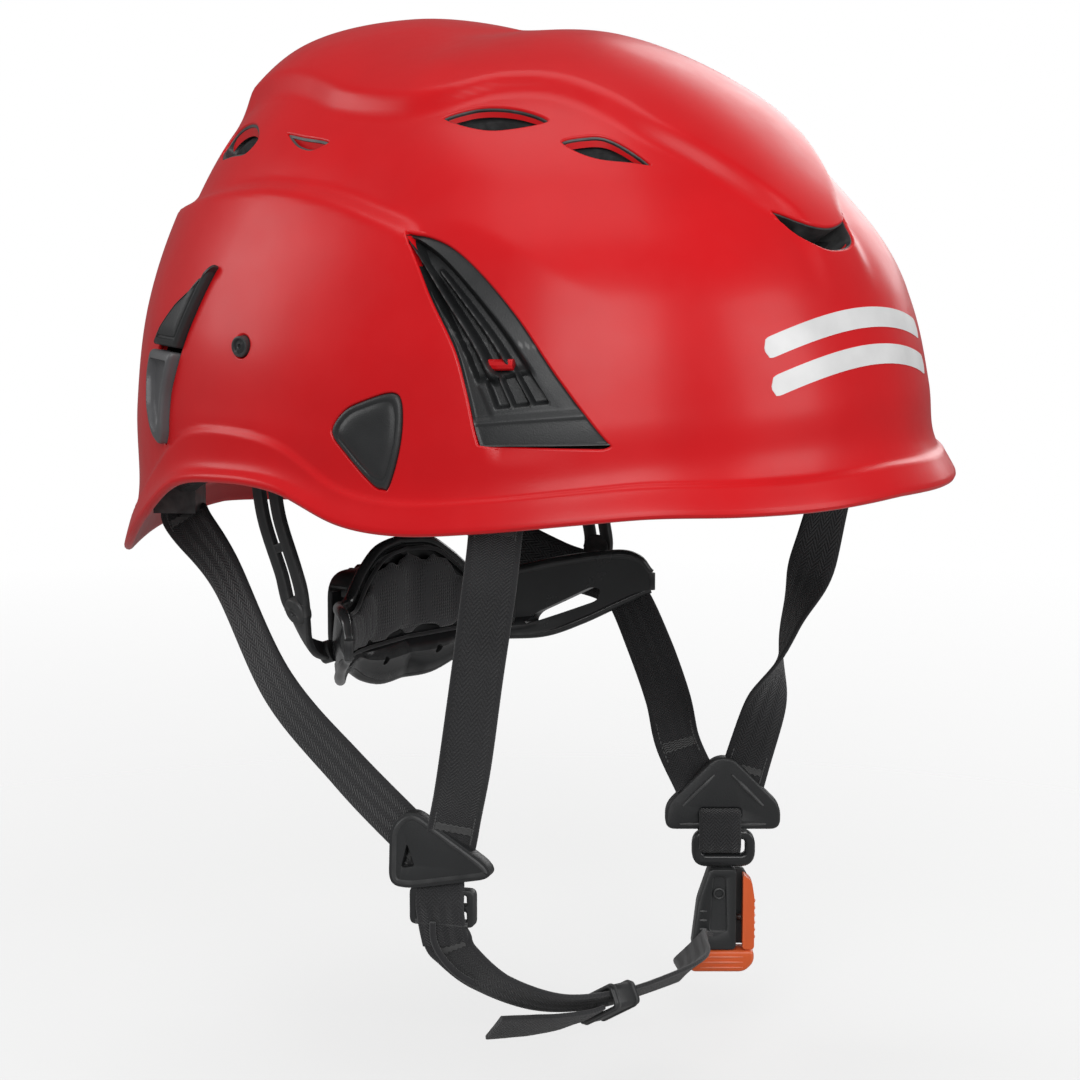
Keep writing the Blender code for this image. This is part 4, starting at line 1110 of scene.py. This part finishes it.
def build_straps(mats):
    routes = strap_routes()
    for name, route in routes.items():
        bm = bmesh.new()
        strap_mesh(bm, route, WEBBING, WEBBING_THICK, wave=0.008)
        piece = finish_mesh(name + "_web", bm, mats["web"], 60)
        if name == "chin_strap":
            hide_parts(name)
            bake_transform(piece)
        else:
            nodes = [n for n in STRAPS if n.startswith(name) and (n == name or name == "rear_strap_left")]
            place(piece, "helmet", "webbing_black", *nodes)
    bm = bmesh.new()
    for name, ends in BAR_TACKS.items():
        for t in ends:
            for side in (-1, 1):
                stitch_bar(bm, routes[name], t, side)
    for name in ("front_strap_right", "front_strap_left", "rear_strap_right", "rear_strap_left"):
        route = routes[name]
        reach = 16 / route.length
        for side in (-1, 1):
            for across in (-6, 6):
                stitch_run(bm, route, (0.06, 0.06 + reach), across, side)
                stitch_run(bm, route, (0.93 - reach, 0.93), across, side)
    place(finish_mesh("stitching", bm, mats["thread"], 60), "helmet")

    bm = bmesh.new()
    tube(bm, [catmull(ELASTIC, k / 40) for k in range(41)], 1.05, sides=12)
    place(finish_mesh("elastic_loop", bm, mats["web"], 60), "helmet", "webbing_black", "elastic_keeper_loop")


# ---------------------------------------------------------------- moulded plates
def moulded(name, outline, centre, right, face, near, far, mat, edge, holes=(), up=UP):
    """Plate of an outline across (right, up), from near to far along its face; edge is its rounding."""
    bm = bmesh.new()
    prism(bm, outline, centre, right, up, face, near, far)
    obj = finish_mesh(name, bm, mat)
    for hole in holes:
        cut_prism(obj, hole, centre, right, up, face, near - 4, far + 4)
    if edge:
        round_edges(obj, edge, 4)
    return obj


def build_sliders(mats):
    at = DIVIDERS["right"]
    outline = rounded_outline([(-8, 13.5), (-15, 8), (-15.5, -11), (-9, -12), (17.5, -7), (17, -3)], 4.5, 8)
    hole = rounded_outline([(-9.5, 2.5), (-11.5, -5.5), (-7, -4.8)], 1.2, 5)
    body = moulded("divider_right", outline, at, RIGHT_ACROSS, RIGHT_FACE, -2.4, 2.6, mats["satin"], 1.3,
                   [hole])
    bm = bmesh.new()
    ring = [at + RIGHT_ACROSS * a + UP * b + RIGHT_FACE * 2.1
            for a, b in even_outline(inset_outline(outline, 1.6), 1.5)]
    tube(bm, ring, 0.95, closed=True, sides=10, normals=[RIGHT_FACE] * len(ring))
    join(body, finish_mesh("rim", bm, mats["satin"]))
    place(body, "helmet", "satin_black", "strap_divider_right")

    at = DIVIDERS["left"]
    outline = rounded_outline([(-3, 14), (-20, -3), (-20, -11.5), (20, -11.5), (20, -3), (3, 14)], 3.5, 8)
    slot = rounded_outline(rectangle(-8.0, 6.0, -7.6, -4.0), 1.2, 4)
    body = moulded("divider_left", outline, at, BUCKLE_RIGHT, BUCKLE_FACE, -2.6, 2.8, mats["satin"], 1.5,
                   [slot])
    bm = bmesh.new()
    for fold in (-1, 1):
        start = at + BUCKLE_FACE * 2.9
        points = [start + BUCKLE_RIGHT * (fold * (3 + 11 * f)) + UP * (8 - 11 * f)
                  for f in (0, 0.25, 0.5, 0.75, 1)]
        tube(bm, points, [0.3, 0.7, 0.8, 0.7, 0.3], sides=8, normals=[BUCKLE_FACE] * 5)
    lower = [at + BUCKLE_FACE * 2.6 + BUCKLE_RIGHT * x + UP * -9.6 for x in (-15, -10, -5, 0, 5, 10, 15)]
    tube(bm, lower, [0.4, 0.9, 1.0, 1.0, 1.0, 0.9, 0.4], sides=10, normals=[BUCKLE_FACE] * 7)
    join(body, finish_mesh("rim", bm, mats["satin"]))
    place(body, "helmet", "satin_black", "strap_divider_left")

    lock = moulded("ladder_lock_body", rounded_outline(rectangle(-10.5, 10.5, -6, 6), 2.2, 5), LADDER_LOCK,
                   RIGHT_ACROSS, RIGHT_FACE, -2, 2, mats["satin"], 0.9,
                   [rounded_outline(rectangle(-8, 8, low, low + 3.2), 0.8) for low in (1.0, -4.2)])
    bm = bmesh.new()
    for height in (-5.3, -4.6):
        low = LADDER_LOCK + RIGHT_FACE * 1.9 + UP * height
        tube(bm, [low + RIGHT_ACROSS * x for x in (-8.5, -4, 0, 4, 8.5)], 0.5, sides=8)
    join(lock, finish_mesh("grip", bm, mats["satin"]))
    place(lock, "ladder", "satin_black", "ladder_lock")

    across = (KEEPER_ACROSS - KEEPER_ALONG * KEEPER_ACROSS.dot(KEEPER_ALONG)).normalized()
    out = KEEPER_ALONG.cross(across)
    outline = rounded_outline(rectangle(-9.6, 9.6, -4, 4), 2.2, 6)
    keeper = moulded("keeper_sleeve", outline, KEEPER, across, KEEPER_ALONG, -5.5, 5.5, mats["satin"], 0.7,
                     [rounded_outline(rectangle(-8.6, 8.6, -2.8, 2.8), 1.2, 5)], up=out)
    bm = bmesh.new()
    for x in (-3.8, 3.8):
        ring = [KEEPER + across * a + out * b + KEEPER_ALONG * x for a, b in even_outline(outline, 1.2)]
        tube(bm, ring, 0.5, closed=True, sides=8, normals=[KEEPER_ALONG] * len(ring))
    join(keeper, finish_mesh("ribs", bm, mats["grey"]))
    place(keeper, "keeper", "gloss_black", "strap_keeper")


# ---------------------------------------------------------------- buckle
def local(right, up, face=0.0):
    return BUCKLE + BUCKLE_RIGHT * right + UP * up + BUCKLE_FACE * face


def buckle_piece(name, outline, near, far, mat, edge, holes=()):
    return moulded(name, outline, BUCKLE, BUCKLE_RIGHT, BUCKLE_FACE, near, far, mat, edge, holes)


def build_buckle(mats):
    loop = buckle_piece("loop", rounded_outline(rectangle(-12, 10, 18.4, 31.4), 5.5, 8), -2.4, 2.4,
                        mats["gloss"], 1.6, [rounded_outline(rectangle(-8.5, 6.5, 22.6, 28.2), 1.6, 5)])
    bm = bmesh.new()
    points = [local(-1 + 8 * f, 29.9, 0.3) for f in (-1, -0.6, -0.2, 0.2, 0.6, 1)]
    tube(bm, points, 2.1, sides=16, normals=[UP] * 6)
    join(loop, finish_mesh("bar", bm, mats["gloss"]))
    place(loop, "helmet", "gloss_black", "buckle_loop")

    outline = rounded_outline([(-6, 18), (3.4, 18), (3.4, -10.6), (-12, -10.6), (-10, 6)], 1.6, 6)
    housing = buckle_piece("housing", outline, -4.8, 4.8, mats["satin"], 0)
    mouth = rectangle(-8.5, 0.6, -12, 8.4)
    groove = rounded_outline([(-4.6, 15.5), (-0.4, 15.5), (0.2, -4), (-5.8, -4)], 1.2)
    for hollow, near, far in ((mouth, -2.4, 2.4), (groove, 4.1, 6)):
        cut_prism(housing, hollow, BUCKLE, BUCKLE_RIGHT, UP, BUCKLE_FACE, near, far)
    round_edges(housing, 0.7, 3)
    bm = bmesh.new()
    for k in range(4):
        tube(bm, [local(-9.2 + x, 3.2 - 3.2 * k, 4.7) for x in (0, 1.2, 2.4)], [0.3, 0.55, 0.3], sides=8)
    ring = [local(-2.6 + a, 9.5 + b, 4.6) for a, b in circle(1.7, 24)]
    tube(bm, ring, 0.4, closed=True, sides=8, normals=[BUCKLE_FACE] * 24)
    join(housing, finish_mesh("marks", bm, mats["satin"]))
    back = rounded_outline([(1, 17.2), (6, 17.2), (8.4, 13), (8.9, 7), (8.9, -10.2), (1, -10.2)], 1.2, 6)
    join(housing, buckle_piece("flange", back, -4.7, -1.7, mats["satin"], 0.6))
    place(housing, "helmet", "satin_black", "buckle_housing")

    outline = rounded_outline([(5.7, 16.4), (8.8, 14), (9.8, 8), (9.8, -10.6), (5.7, -10.6)], 1.4, 6)
    button = buckle_piece("button", outline, -1.3, 4.8, mats["orange"], 1.0)
    bm = bmesh.new()
    for k in range(6):
        tube(bm, [local(9.7, -6.5 + 2.6 * k, y) for y in (-0.4, 0.7, 1.8, 2.9, 4)],
             [0.3, 0.55, 0.6, 0.55, 0.3], sides=8, normals=[BUCKLE_RIGHT] * 5)
    join(button, finish_mesh("grips", bm, mats["orange"]))
    place(button, "buckle_button", "orange", "release_button")

    bm = bmesh.new()
    coil = [local(3.9 + 0.03 * k, 1.1 * sin(8 * pi * k / 60), 1.1 * cos(8 * pi * k / 60)) for k in range(61)]
    tube(bm, coil, 0.16, sides=8, normals=[BUCKLE_RIGHT] * 61)
    place(finish_mesh("return_spring", bm, mats["steel"]), "helmet", "spring_steel", "button_spring")

    outline = rounded_outline([(-12.4, -11), (9.8, -11), (9.8, -15.4), (6.4, -18.7), (-12.4, -18.7)], 2.0, 6)
    tongue = buckle_piece("tongue", outline, -4.8, 4.8, mats["orange"], 1.2)
    prong = buckle_piece("prong", rounded_outline(rectangle(-7.9, 0, -13, 6), 1.2), -2, 2, mats["orange"],
                         0.5, [rounded_outline(rectangle(-5, -3, -7, 3), 0.6)])
    join(tongue, prong)
    bm = bmesh.new()
    for k in range(3):
        tube(bm, [local(-9 + x, -13.2 - 1.9 * k, 4.75) for x in (0, 5, 10, 15)],
             [0.2, 0.45, 0.45, 0.2], sides=8, normals=[BUCKLE_FACE] * 4)
    join(tongue, finish_mesh("grips", bm, mats["orange"]))
    place(tongue, "buckle_insert", "orange", "buckle_tongue")


# ---------------------------------------------------------------- cradle and adjuster
def plan_point(sign, t):
    p = catmull(CRADLE_PLAN, t)
    return Vector((sign * p[0], p[1], 0))


def cradle_frame_at(position):
    """Place on the cradle's plan at -1 (right tip) to 1 (left tip), and its outward direction."""
    sign = -1 if position < 0 else 1
    t = abs(position)
    along = plan_point(sign, min(t + 0.01, 1)) - plan_point(sign, max(t - 0.01, 0))
    if t < 0.01:
        along = Vector((1, 0, 0))
    along.normalize()
    out = Vector((-along.y, along.x, 0))
    here = plan_point(sign, t)
    if out.dot(here - Vector((0, -20, 0))) < 0:
        out = -out
    return here, out


def cradle_point(position, v, offset):
    here, out = cradle_frame_at(position)
    low, high = table(CRADLE_BOTTOM, abs(position)), table(CRADLE_TOP, abs(position))
    return here + out * offset + UP * (low + (high - low) * v)


STUD_PROFILE = [(-2.0, 4.6), (1.2, 4.6), (1.7, 4.2), (1.9, 3.4), (1.9, 1.6), (1.5, 1.3), (1.5, 0.05)]


def build_cradle(mats):
    along, up = (150, 18) if FINE else (90, 12)

    def inner(position, v):
        centre = 1 - smoothstep(0.3, 0.55, abs(position))
        lip = 2.6 * bump(v, 0.2, 0.09) + 1.4 * smoothstep(0.24, 0.14, v)
        return cradle_point(position, v, -lip * centre * (1 - 0.5 * smoothstep(0.1, 0, v)))

    def outer(position, v):
        return cradle_point(position, v, CRADLE_WALL + 0.8 * bump(v, 0.5, 0.5))

    bm = bmesh.new()
    band(bm, along, up, inner, outer)
    frame_piece = finish_mesh("cradle_shell", bm, mats["gloss"], 45)
    window = rounded_outline(CRADLE_WINDOW, 1.6, 4)
    for side in SIDES.values():
        cut_prism(frame_piece, window, Vector((0, 0, 0)), Y_AXIS, UP, X_AXIS * side, 45, 100)
    bm = bmesh.new()
    for side in SIDES.values():
        hole = [(side * 14 + a, -60 + b) for a, b in circle(1.5, 20)]
        prism(bm, hole, Vector((0, 0, 0)), X_AXIS, UP, Y_AXIS, 40, 60)
    cut(frame_piece, finish_mesh("cutter", bm, mats["gloss"]))
    bm = bmesh.new()
    places = [k / 60 - 1 for k in range(121)]
    for v, radius in ((1.0, 1.9), (0.0, 1.7)):
        sizes = [radius * (0.75 + 0.25 * smoothstep(1.0, 0.85, abs(position))) for position in places]
        tube(bm, [cradle_point(position, v, 1.3) for position in places], sizes, sides=14)
    for end in (-1, 1):
        points = [cradle_point(end, v, 1.3) for v in (0, 0.25, 0.5, 0.75, 1)]
        tube(bm, points, 1.5, sides=12, normals=[Y_AXIS] * 5)
    join(frame_piece, finish_mesh("edges", bm, mats["gloss"]))
    place(frame_piece, "nape_cradle", "satin_black", "cradle_frame")

    for label, side in SIDES.items():
        route = Route([(side * x, y, z) for x, y, z in HANGER_ROUTE], HANGER_SIDES)
        bm = bmesh.new()
        for shift in (-3.4, 3.4):
            strap_mesh(bm, route, 4.2, 2.4, shift, (0, 0.58))
        for t in (0.03, 0.3, 0.55):
            p, along_way, across, _ = route.at(t)
            strap_mesh(bm, Route([p - across * 5, p + across * 5], [tuple(along_way)] * 2), 3.0, 2.2)
        strap_mesh(bm, route, lambda t: 11 - 5 * smoothstep(0.55, 0.75, t), 2.4, 0, (0.54, 1))
        for t, size in ((0.57, 1.0), (0.97, 0.8)):
            p, _, _, out = route.at(t)
            outward = out if out.dot(p - Vector((0, 0, p.z))) > 0 else -out
            turned(bm, p, outward, [(x, r * size) for x, r in STUD_PROFILE], 32)
        place(finish_mesh("hanger_strip_" + label, bm, mats["satin"], 50), "nape_cradle", "satin_black",
              "hanger_" + label)


KNOB_LOBES = 20
# (y, share of KNOB_RADIUS)
KNOB_PROFILE = [(65.4, 0.90), (65.7, 0.97), (66.6, 1.0), (71.6, 1.0), (72.8, 0.985), (73.6, 0.94),
                (74.0, 0.86), (73.7, 0.78), (72.9, 0.72), (72.7, 0.5), (73.0, 0.28), (73.1, 0.02)]


def build_adjuster(mats):
    centre = Vector((0, 0, KNOB_CENTRE.z))
    outline = rounded_outline(rectangle(-25, 25, -15, 15), 9, 8)
    housing = moulded("wheel_housing", outline, centre, X_AXIS, Y_AXIS, 55.2, 65, mats["satin"], 0)
    cut_prism(housing, rectangle(-30, 30, -9.7, 9.7), centre, X_AXIS, UP, Y_AXIS, 57.3, 62.7)
    cut_prism(housing, circle(4.5, 32), centre, X_AXIS, UP, Y_AXIS, 60, 70)
    round_edges(housing, 1.2, 4)
    bm = bmesh.new()
    for side in (-1, 1):
        for z in (-8.5, 8.5):
            turned(bm, centre + Vector((side * 19, 64.9, z * 0.9)), Y_AXIS,
                   [(-0.5, 2.4), (0.3, 2.4), (0.55, 2.1), (0.6, 1.2), (0.2, 0.9), (0.2, 0.05)], 24)
    join(housing, finish_mesh("screws", bm, mats["satin"]))
    place(housing, "nape_cradle", "satin_black", "adjuster_housing")

    bm = bmesh.new()
    rows = []
    for y, share in KNOB_PROFILE:
        ring = []
        for a in turns(KNOB_LOBES * 8):
            ridge = 1 - 0.085 * (0.5 - 0.5 * cos(a * KNOB_LOBES)) ** 0.7 * smoothstep(0.75, 0.95, share)
            r = KNOB_RADIUS * share * ridge
            ring.append(bm.verts.new(centre + Vector((r * cos(a), y, r * sin(a)))))
        rows.append(ring)
    loft(bm, rows)
    for radius in (8.2, 5.6):
        ring = [centre + Vector((a, 72.9, b)) for a, b in circle(radius, 48)]
        tube(bm, ring, 0.35, closed=True, sides=8, normals=[Y_AXIS] * 48)
    place(finish_mesh("wheel", bm, mats["gloss"], 50), "adjuster_wheel", "gloss_black", "adjuster_knob")


# ---------------------------------------------------------------- padding
PUFF_FRAMES = 20
PUFF_VOXEL = 2.4
PUFF_PRESSURE = 4.0
PAD_CHANNELS = (-0.72, -0.36, 0, 0.36, 0.72)
HEADBAND_SPAN = 96              # degrees to each side of the front
BROW_SPAN = 60
BROW_INSET = 5.35               # from the headband's outer face to the brow pad's inner one
CROWN_PAD_SHARE = 0.235         # of the way down the shell
CROWN_PAD_TOP = LINER_INNER - 1.6
NAPE_PAD_HALF = 0.36
NAPE_PAD_LOW = -54
NAPE_PAD_FRONT = -0.35


def puff(obj, swell_cap):
    """Swell a pad as sewn cloth over foam, with each point held to a small move."""
    if not FINE:
        return obj
    remesh = obj.modifiers.new("remesh", "REMESH")
    remesh.mode = "VOXEL"
    remesh.voxel_size = PUFF_VOXEL * MM
    bpy.context.view_layer.update()
    apply_modifiers(obj, 180)
    rest = [v.co.copy() for v in obj.data.vertices]
    cloth = obj.modifiers.new("cloth", "CLOTH")
    cloth.settings.quality = 5
    cloth.settings.mass = 0.3
    cloth.settings.tension_stiffness = 15
    cloth.settings.compression_stiffness = 15
    cloth.settings.bending_stiffness = 0.5
    cloth.settings.use_pressure = True
    cloth.settings.uniform_pressure_force = PUFF_PRESSURE
    cloth.settings.effector_weights.gravity = 0
    cloth.collision_settings.use_collision = False
    cloth.point_cache.frame_start = 1
    cloth.point_cache.frame_end = PUFF_FRAMES
    for number in range(1, PUFF_FRAMES + 1):
        bpy.context.scene.frame_set(number)
    apply_modifiers(obj, 180)
    bpy.context.scene.frame_set(1)
    for vert, start in zip(obj.data.vertices, rest):
        move = vert.co - start
        if move.length > swell_cap * MM:
            vert.co = start + move.normalized() * swell_cap * MM
    smooth = obj.modifiers.new("smooth", "SMOOTH")
    smooth.factor = 0.5
    smooth.iterations = 3
    round_off = obj.modifiers.new("round", "SUBSURF")
    round_off.levels = round_off.render_levels = 1
    bpy.context.view_layer.update()
    return apply_modifiers(obj, 180)


def band_point(half, z_range, span, squash, position, v, offset):
    """Place on an upright band bent round the brow; position -1 to 1 along it and v 0 to 1 up it."""
    a = radians(span) * position
    middle, reach = sum(z_range) / 2, (z_range[1] - z_range[0]) / 2 * (1 - (1 - squash) * position ** 2)
    return Vector(((half[0] + offset) * sin(a), -(half[1] + offset) * cos(a), middle + reach * (2 * v - 1)))


def build_headband(mats):
    along, up = (180, 14) if FINE else (110, 8)

    def on_band(position, v, offset=0.0):
        return band_point(HEADBAND_HALF, HEADBAND_Z, HEADBAND_SPAN, 0.6, position, v, offset)

    bm = bmesh.new()
    band(bm, along, up, on_band, lambda position, v: on_band(position, v, 1.6 + 0.5 * bump(v, 0.5, 0.5)))
    for v in (0.02, 0.98):
        tube(bm, [on_band(2 * i / along - 1, v, 0.9) for i in range(along + 1)], 1.15, sides=12)
    place(finish_mesh("headband", bm, mats["satin"], 50), "helmet", "satin_black", "front_headband")


def build_brow_pad(mats):
    half = [h - BROW_INSET for h in HEADBAND_HALF]
    z_range = (HEADBAND_Z[0] + 1, HEADBAND_Z[1] - 1)
    along, up = (120, 10) if FINE else (80, 8)

    def on_pad(position, v, offset):
        return band_point(half, z_range, BROW_SPAN, 1, position, v, offset)

    def pillow(position, v):
        return (1 - (2 * v - 1) ** 4) * (1 - position ** 12)

    def inner(position, v):
        channel = max(bump(position, p, 0.035) for p in PAD_CHANNELS)
        return on_pad(position, v, 2.2 - 2.4 * pillow(position, v) * (1 - 0.8 * channel))

    bm = bmesh.new()
    band(bm, along, up, inner, lambda position, v: on_pad(position, v, 2.8 + 1.6 * pillow(position, v)))
    pad = puff(finish_mesh("brow_cushion", bm, mats["foam"], 180), 0.9)
    bm = bmesh.new()
    edge = [on_pad(i / 60 - 1, 0.0, 2.5) for i in range(121)]
    edge += [on_pad(1 - i / 60, 1.0, 2.5) for i in range(121)]
    tube(bm, edge, 0.75, closed=True, sides=8)
    place(finish_mesh("brow_piping", bm, mats["web"], 60), "helmet")
    place(pad, "helmet", "foam_grey", "brow_pad")


def build_crown_pad(mats):
    """Round cushion under the crown, quilted in a ring and a cross."""
    around, rings = (72, 18) if FINE else (48, 12)

    def surface(theta, share, offset):
        t = CROWN_PAD_SHARE * share
        out = normal_of(plain_surface, theta, max(t, 0.02))
        return plain_surface(theta, max(t, 0.002)) + out * (CROWN_PAD_TOP + offset)

    def upper(theta, share):
        return surface(theta, share, 1.9 * (1 - share ** 6) - 2.4)

    def lower(theta, share):
        groove = max(bump(share, 0.55, 0.07), 0.8 * bump(abs(sin(2 * theta)), 0, 0.16) * (share > 0.55))
        return surface(theta, share, -2.7 - (2.0 - 1.5 * groove) * (1 - share ** 6))

    bm = bmesh.new()
    shares = [j / rings for j in range(1, rings + 1)]
    rows = [[bm.verts.new(upper(a, share)) for a in turns(around)] for share in shares]
    rows += [[bm.verts.new(lower(a, share)) for a in turns(around)] for share in reversed(shares)]
    grid_faces(bm, rows, closed_columns=True)
    for row, offset in ((rows[0], -0.5), (rows[-1], -4.7)):
        fan(bm, (0, 0, CROWN_Z + CROWN_PAD_TOP + offset), row)
    pad = puff(finish_mesh("crown_cushion", bm, mats["foam"], 180), 0.8)
    bm = bmesh.new()
    tube(bm, [surface(a, 1.0, -2.5) for a in turns(96)], 0.8, closed=True, sides=8)
    place(finish_mesh("crown_piping", bm, mats["web"], 60), "helmet")
    place(pad, "helmet", "foam_grey", "crown_pad")


def nape_pad_point(share, v, offset):
    """Place on the nape pad, from -1 to 1 along it and 0 to 1 up it."""
    position = NAPE_PAD_HALF * share
    here, out = cradle_frame_at(position)
    high = table(CRADLE_TOP, abs(position)) - 2.5
    return here + out * (NAPE_PAD_FRONT + offset) + UP * (NAPE_PAD_LOW + (high - NAPE_PAD_LOW) * v)


def build_nape_pad(mats):
    along, up = (90, 20) if FINE else (60, 14)

    def pillow(share, v):
        return (1 - (2 * v - 1) ** 6) * (1 - abs(share) ** 10)

    def inner(share, v):
        channel = bump(abs(NAPE_PAD_HALF * share), 0.15, 0.012)
        return nape_pad_point(share, v, -1.4 - (1.7 - 1.2 * channel) * pillow(share, v))

    bm = bmesh.new()
    band(bm, along, up, inner, lambda share, v: nape_pad_point(share, v, 1.1 * pillow(share, v) - 1.2))
    pad = puff(finish_mesh("nape_cushion", bm, mats["foam"], 180), 0.7)
    bm = bmesh.new()
    edge = [(i / 40 - 1, 0.0) for i in range(81)] + [(1, v / 8) for v in range(1, 8)]
    edge += [(-share, 1 - v) for share, v in edge]
    tube(bm, [nape_pad_point(share, v, -1.3) for share, v in edge], 0.7, closed=True, sides=8)
    place(finish_mesh("nape_piping", bm, mats["web"], 60), "nape_cradle")
    place(pad, "nape_cradle", "foam_grey", "nape_pad")


# ---------------------------------------------------------------- carried-over parts
def finish_kept_nodes(mats):
    """Anchors, pinion and racks keep their model meshes, with rounded edges and finished materials."""
    for name in ("strap_anchor_front_left", "strap_anchor_front_right", "strap_anchor_rear_left",
                 "strap_anchor_rear_right", "adjuster_pinion", "size_rack_left", "size_rack_right"):
        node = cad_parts[name]
        for slot in node.material_slots:
            slot.material = mats["satin"]
        soften(node, 1.2 if name.startswith("strap") else 0.15, 3)


# ---------------------------------------------------------------- stage
FLOOR_HALF = 1.2
FLOOR_GAP = 0.026               # room for the tongue when it is pulled out
FLOOR_FADE = (0.3, 1.1)         # the floor fades into the backdrop between these distances
FLOOR_COVER = 0.35
WORLD_STRENGTH = 0.18           # as a light; the backdrop itself is seen at full white
LIGHTS = [("key", (-1.2, -0.9, 0.75), (1.2, 1.0), 15), ("front", (0.35, -1.6, 0.6), (0.9, 0.9), 8),
          ("top", (-0.1, 0.1, 1.8), (1.2, 1.2), 8), ("rear", (-0.8, 1.4, 0.7), (0.8, 0.8), 6),
          ("left", (1.5, 0.3, 0.6), (0.9, 0.9), 7)]
CAMERA_AT = (-0.7804, -0.6097, 0.1392)
CAMERA_LENS = 101
CAMERA_SHIFT = (0.0157, -0.0435)


def build_stage():
    low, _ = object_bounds()
    mesh = bpy.data.meshes.new("floor")
    bm = bmesh.new()
    bmesh.ops.create_grid(bm, x_segments=1, y_segments=1, size=FLOOR_HALF)
    bm.to_mesh(mesh)
    bm.free()
    floor = bpy.data.objects.new("floor", mesh)
    bpy.context.scene.collection.objects.link(floor)
    floor.location.z = low[2] - FLOOR_GAP
    mat, tree, shader = start_material("floor")
    shader.inputs["Base Color"].default_value = (0.9, 0.9, 0.9, 1)
    shader.inputs["Roughness"].default_value = 0.7
    where = tree.nodes.new("ShaderNodeTexCoord")
    reach = add_node(tree, "ShaderNodeVectorMath", "LENGTH", i0=where.outputs["Object"]).outputs["Value"]
    fade = map_range(tree, reach, *FLOOR_FADE, FLOOR_COVER, 0)
    tree.links.new(fade, shader.inputs["Alpha"])
    mesh.materials.append(mat)

    world = bpy.data.worlds.new("studio")
    world.use_nodes = True
    bpy.context.scene.world = world
    tree = world.node_tree
    tree.nodes["Background"].inputs["Color"].default_value = (1, 1, 1, 1)
    seen = tree.nodes.new("ShaderNodeLightPath").outputs["Is Camera Ray"]
    strength = map_range(tree, seen, 0, 1, WORLD_STRENGTH, 1)
    tree.links.new(strength, tree.nodes["Background"].inputs["Strength"])
    for name, place_at, size, power in LIGHTS:
        light = bpy.data.lights.new(name, "AREA")
        light.shape = "RECTANGLE"
        light.size, light.size_y = size
        light.energy = power
        obj = bpy.data.objects.new(name, light)
        obj.location = place_at
        obj.rotation_euler = (-Vector(place_at)).to_track_quat("-Z", "Y").to_euler()
        bpy.context.scene.collection.objects.link(obj)

    camera = bpy.data.cameras.new("camera")
    camera.lens = CAMERA_LENS
    camera.sensor_width = 36
    camera.shift_x, camera.shift_y = CAMERA_SHIFT
    camera.clip_end = 20
    obj = bpy.data.objects.new("camera", camera)
    obj.location = CAMERA_AT
    obj.rotation_euler = (-Vector(CAMERA_AT)).to_track_quat("-Z", "Y").to_euler()
    bpy.context.scene.collection.objects.link(obj)
    bpy.context.scene.camera = obj
    bpy.context.scene.view_settings.view_transform = "Standard"


def main():
    mats = make_materials()
    build_shell(mats, opening_list())
    build_vent_linings(mats)
    build_liner(mats)
    build_inserts(mats)
    build_forehead_bars(mats)
    build_headband(mats)
    build_brow_pad(mats)
    build_crown_pad(mats)
    build_cradle(mats)
    build_nape_pad(mats)
    build_adjuster(mats)
    build_straps(mats)
    build_links(mats)
    build_sliders(mats)
    build_buckle(mats)
    finish_kept_nodes(mats)
    build_stage()


main()
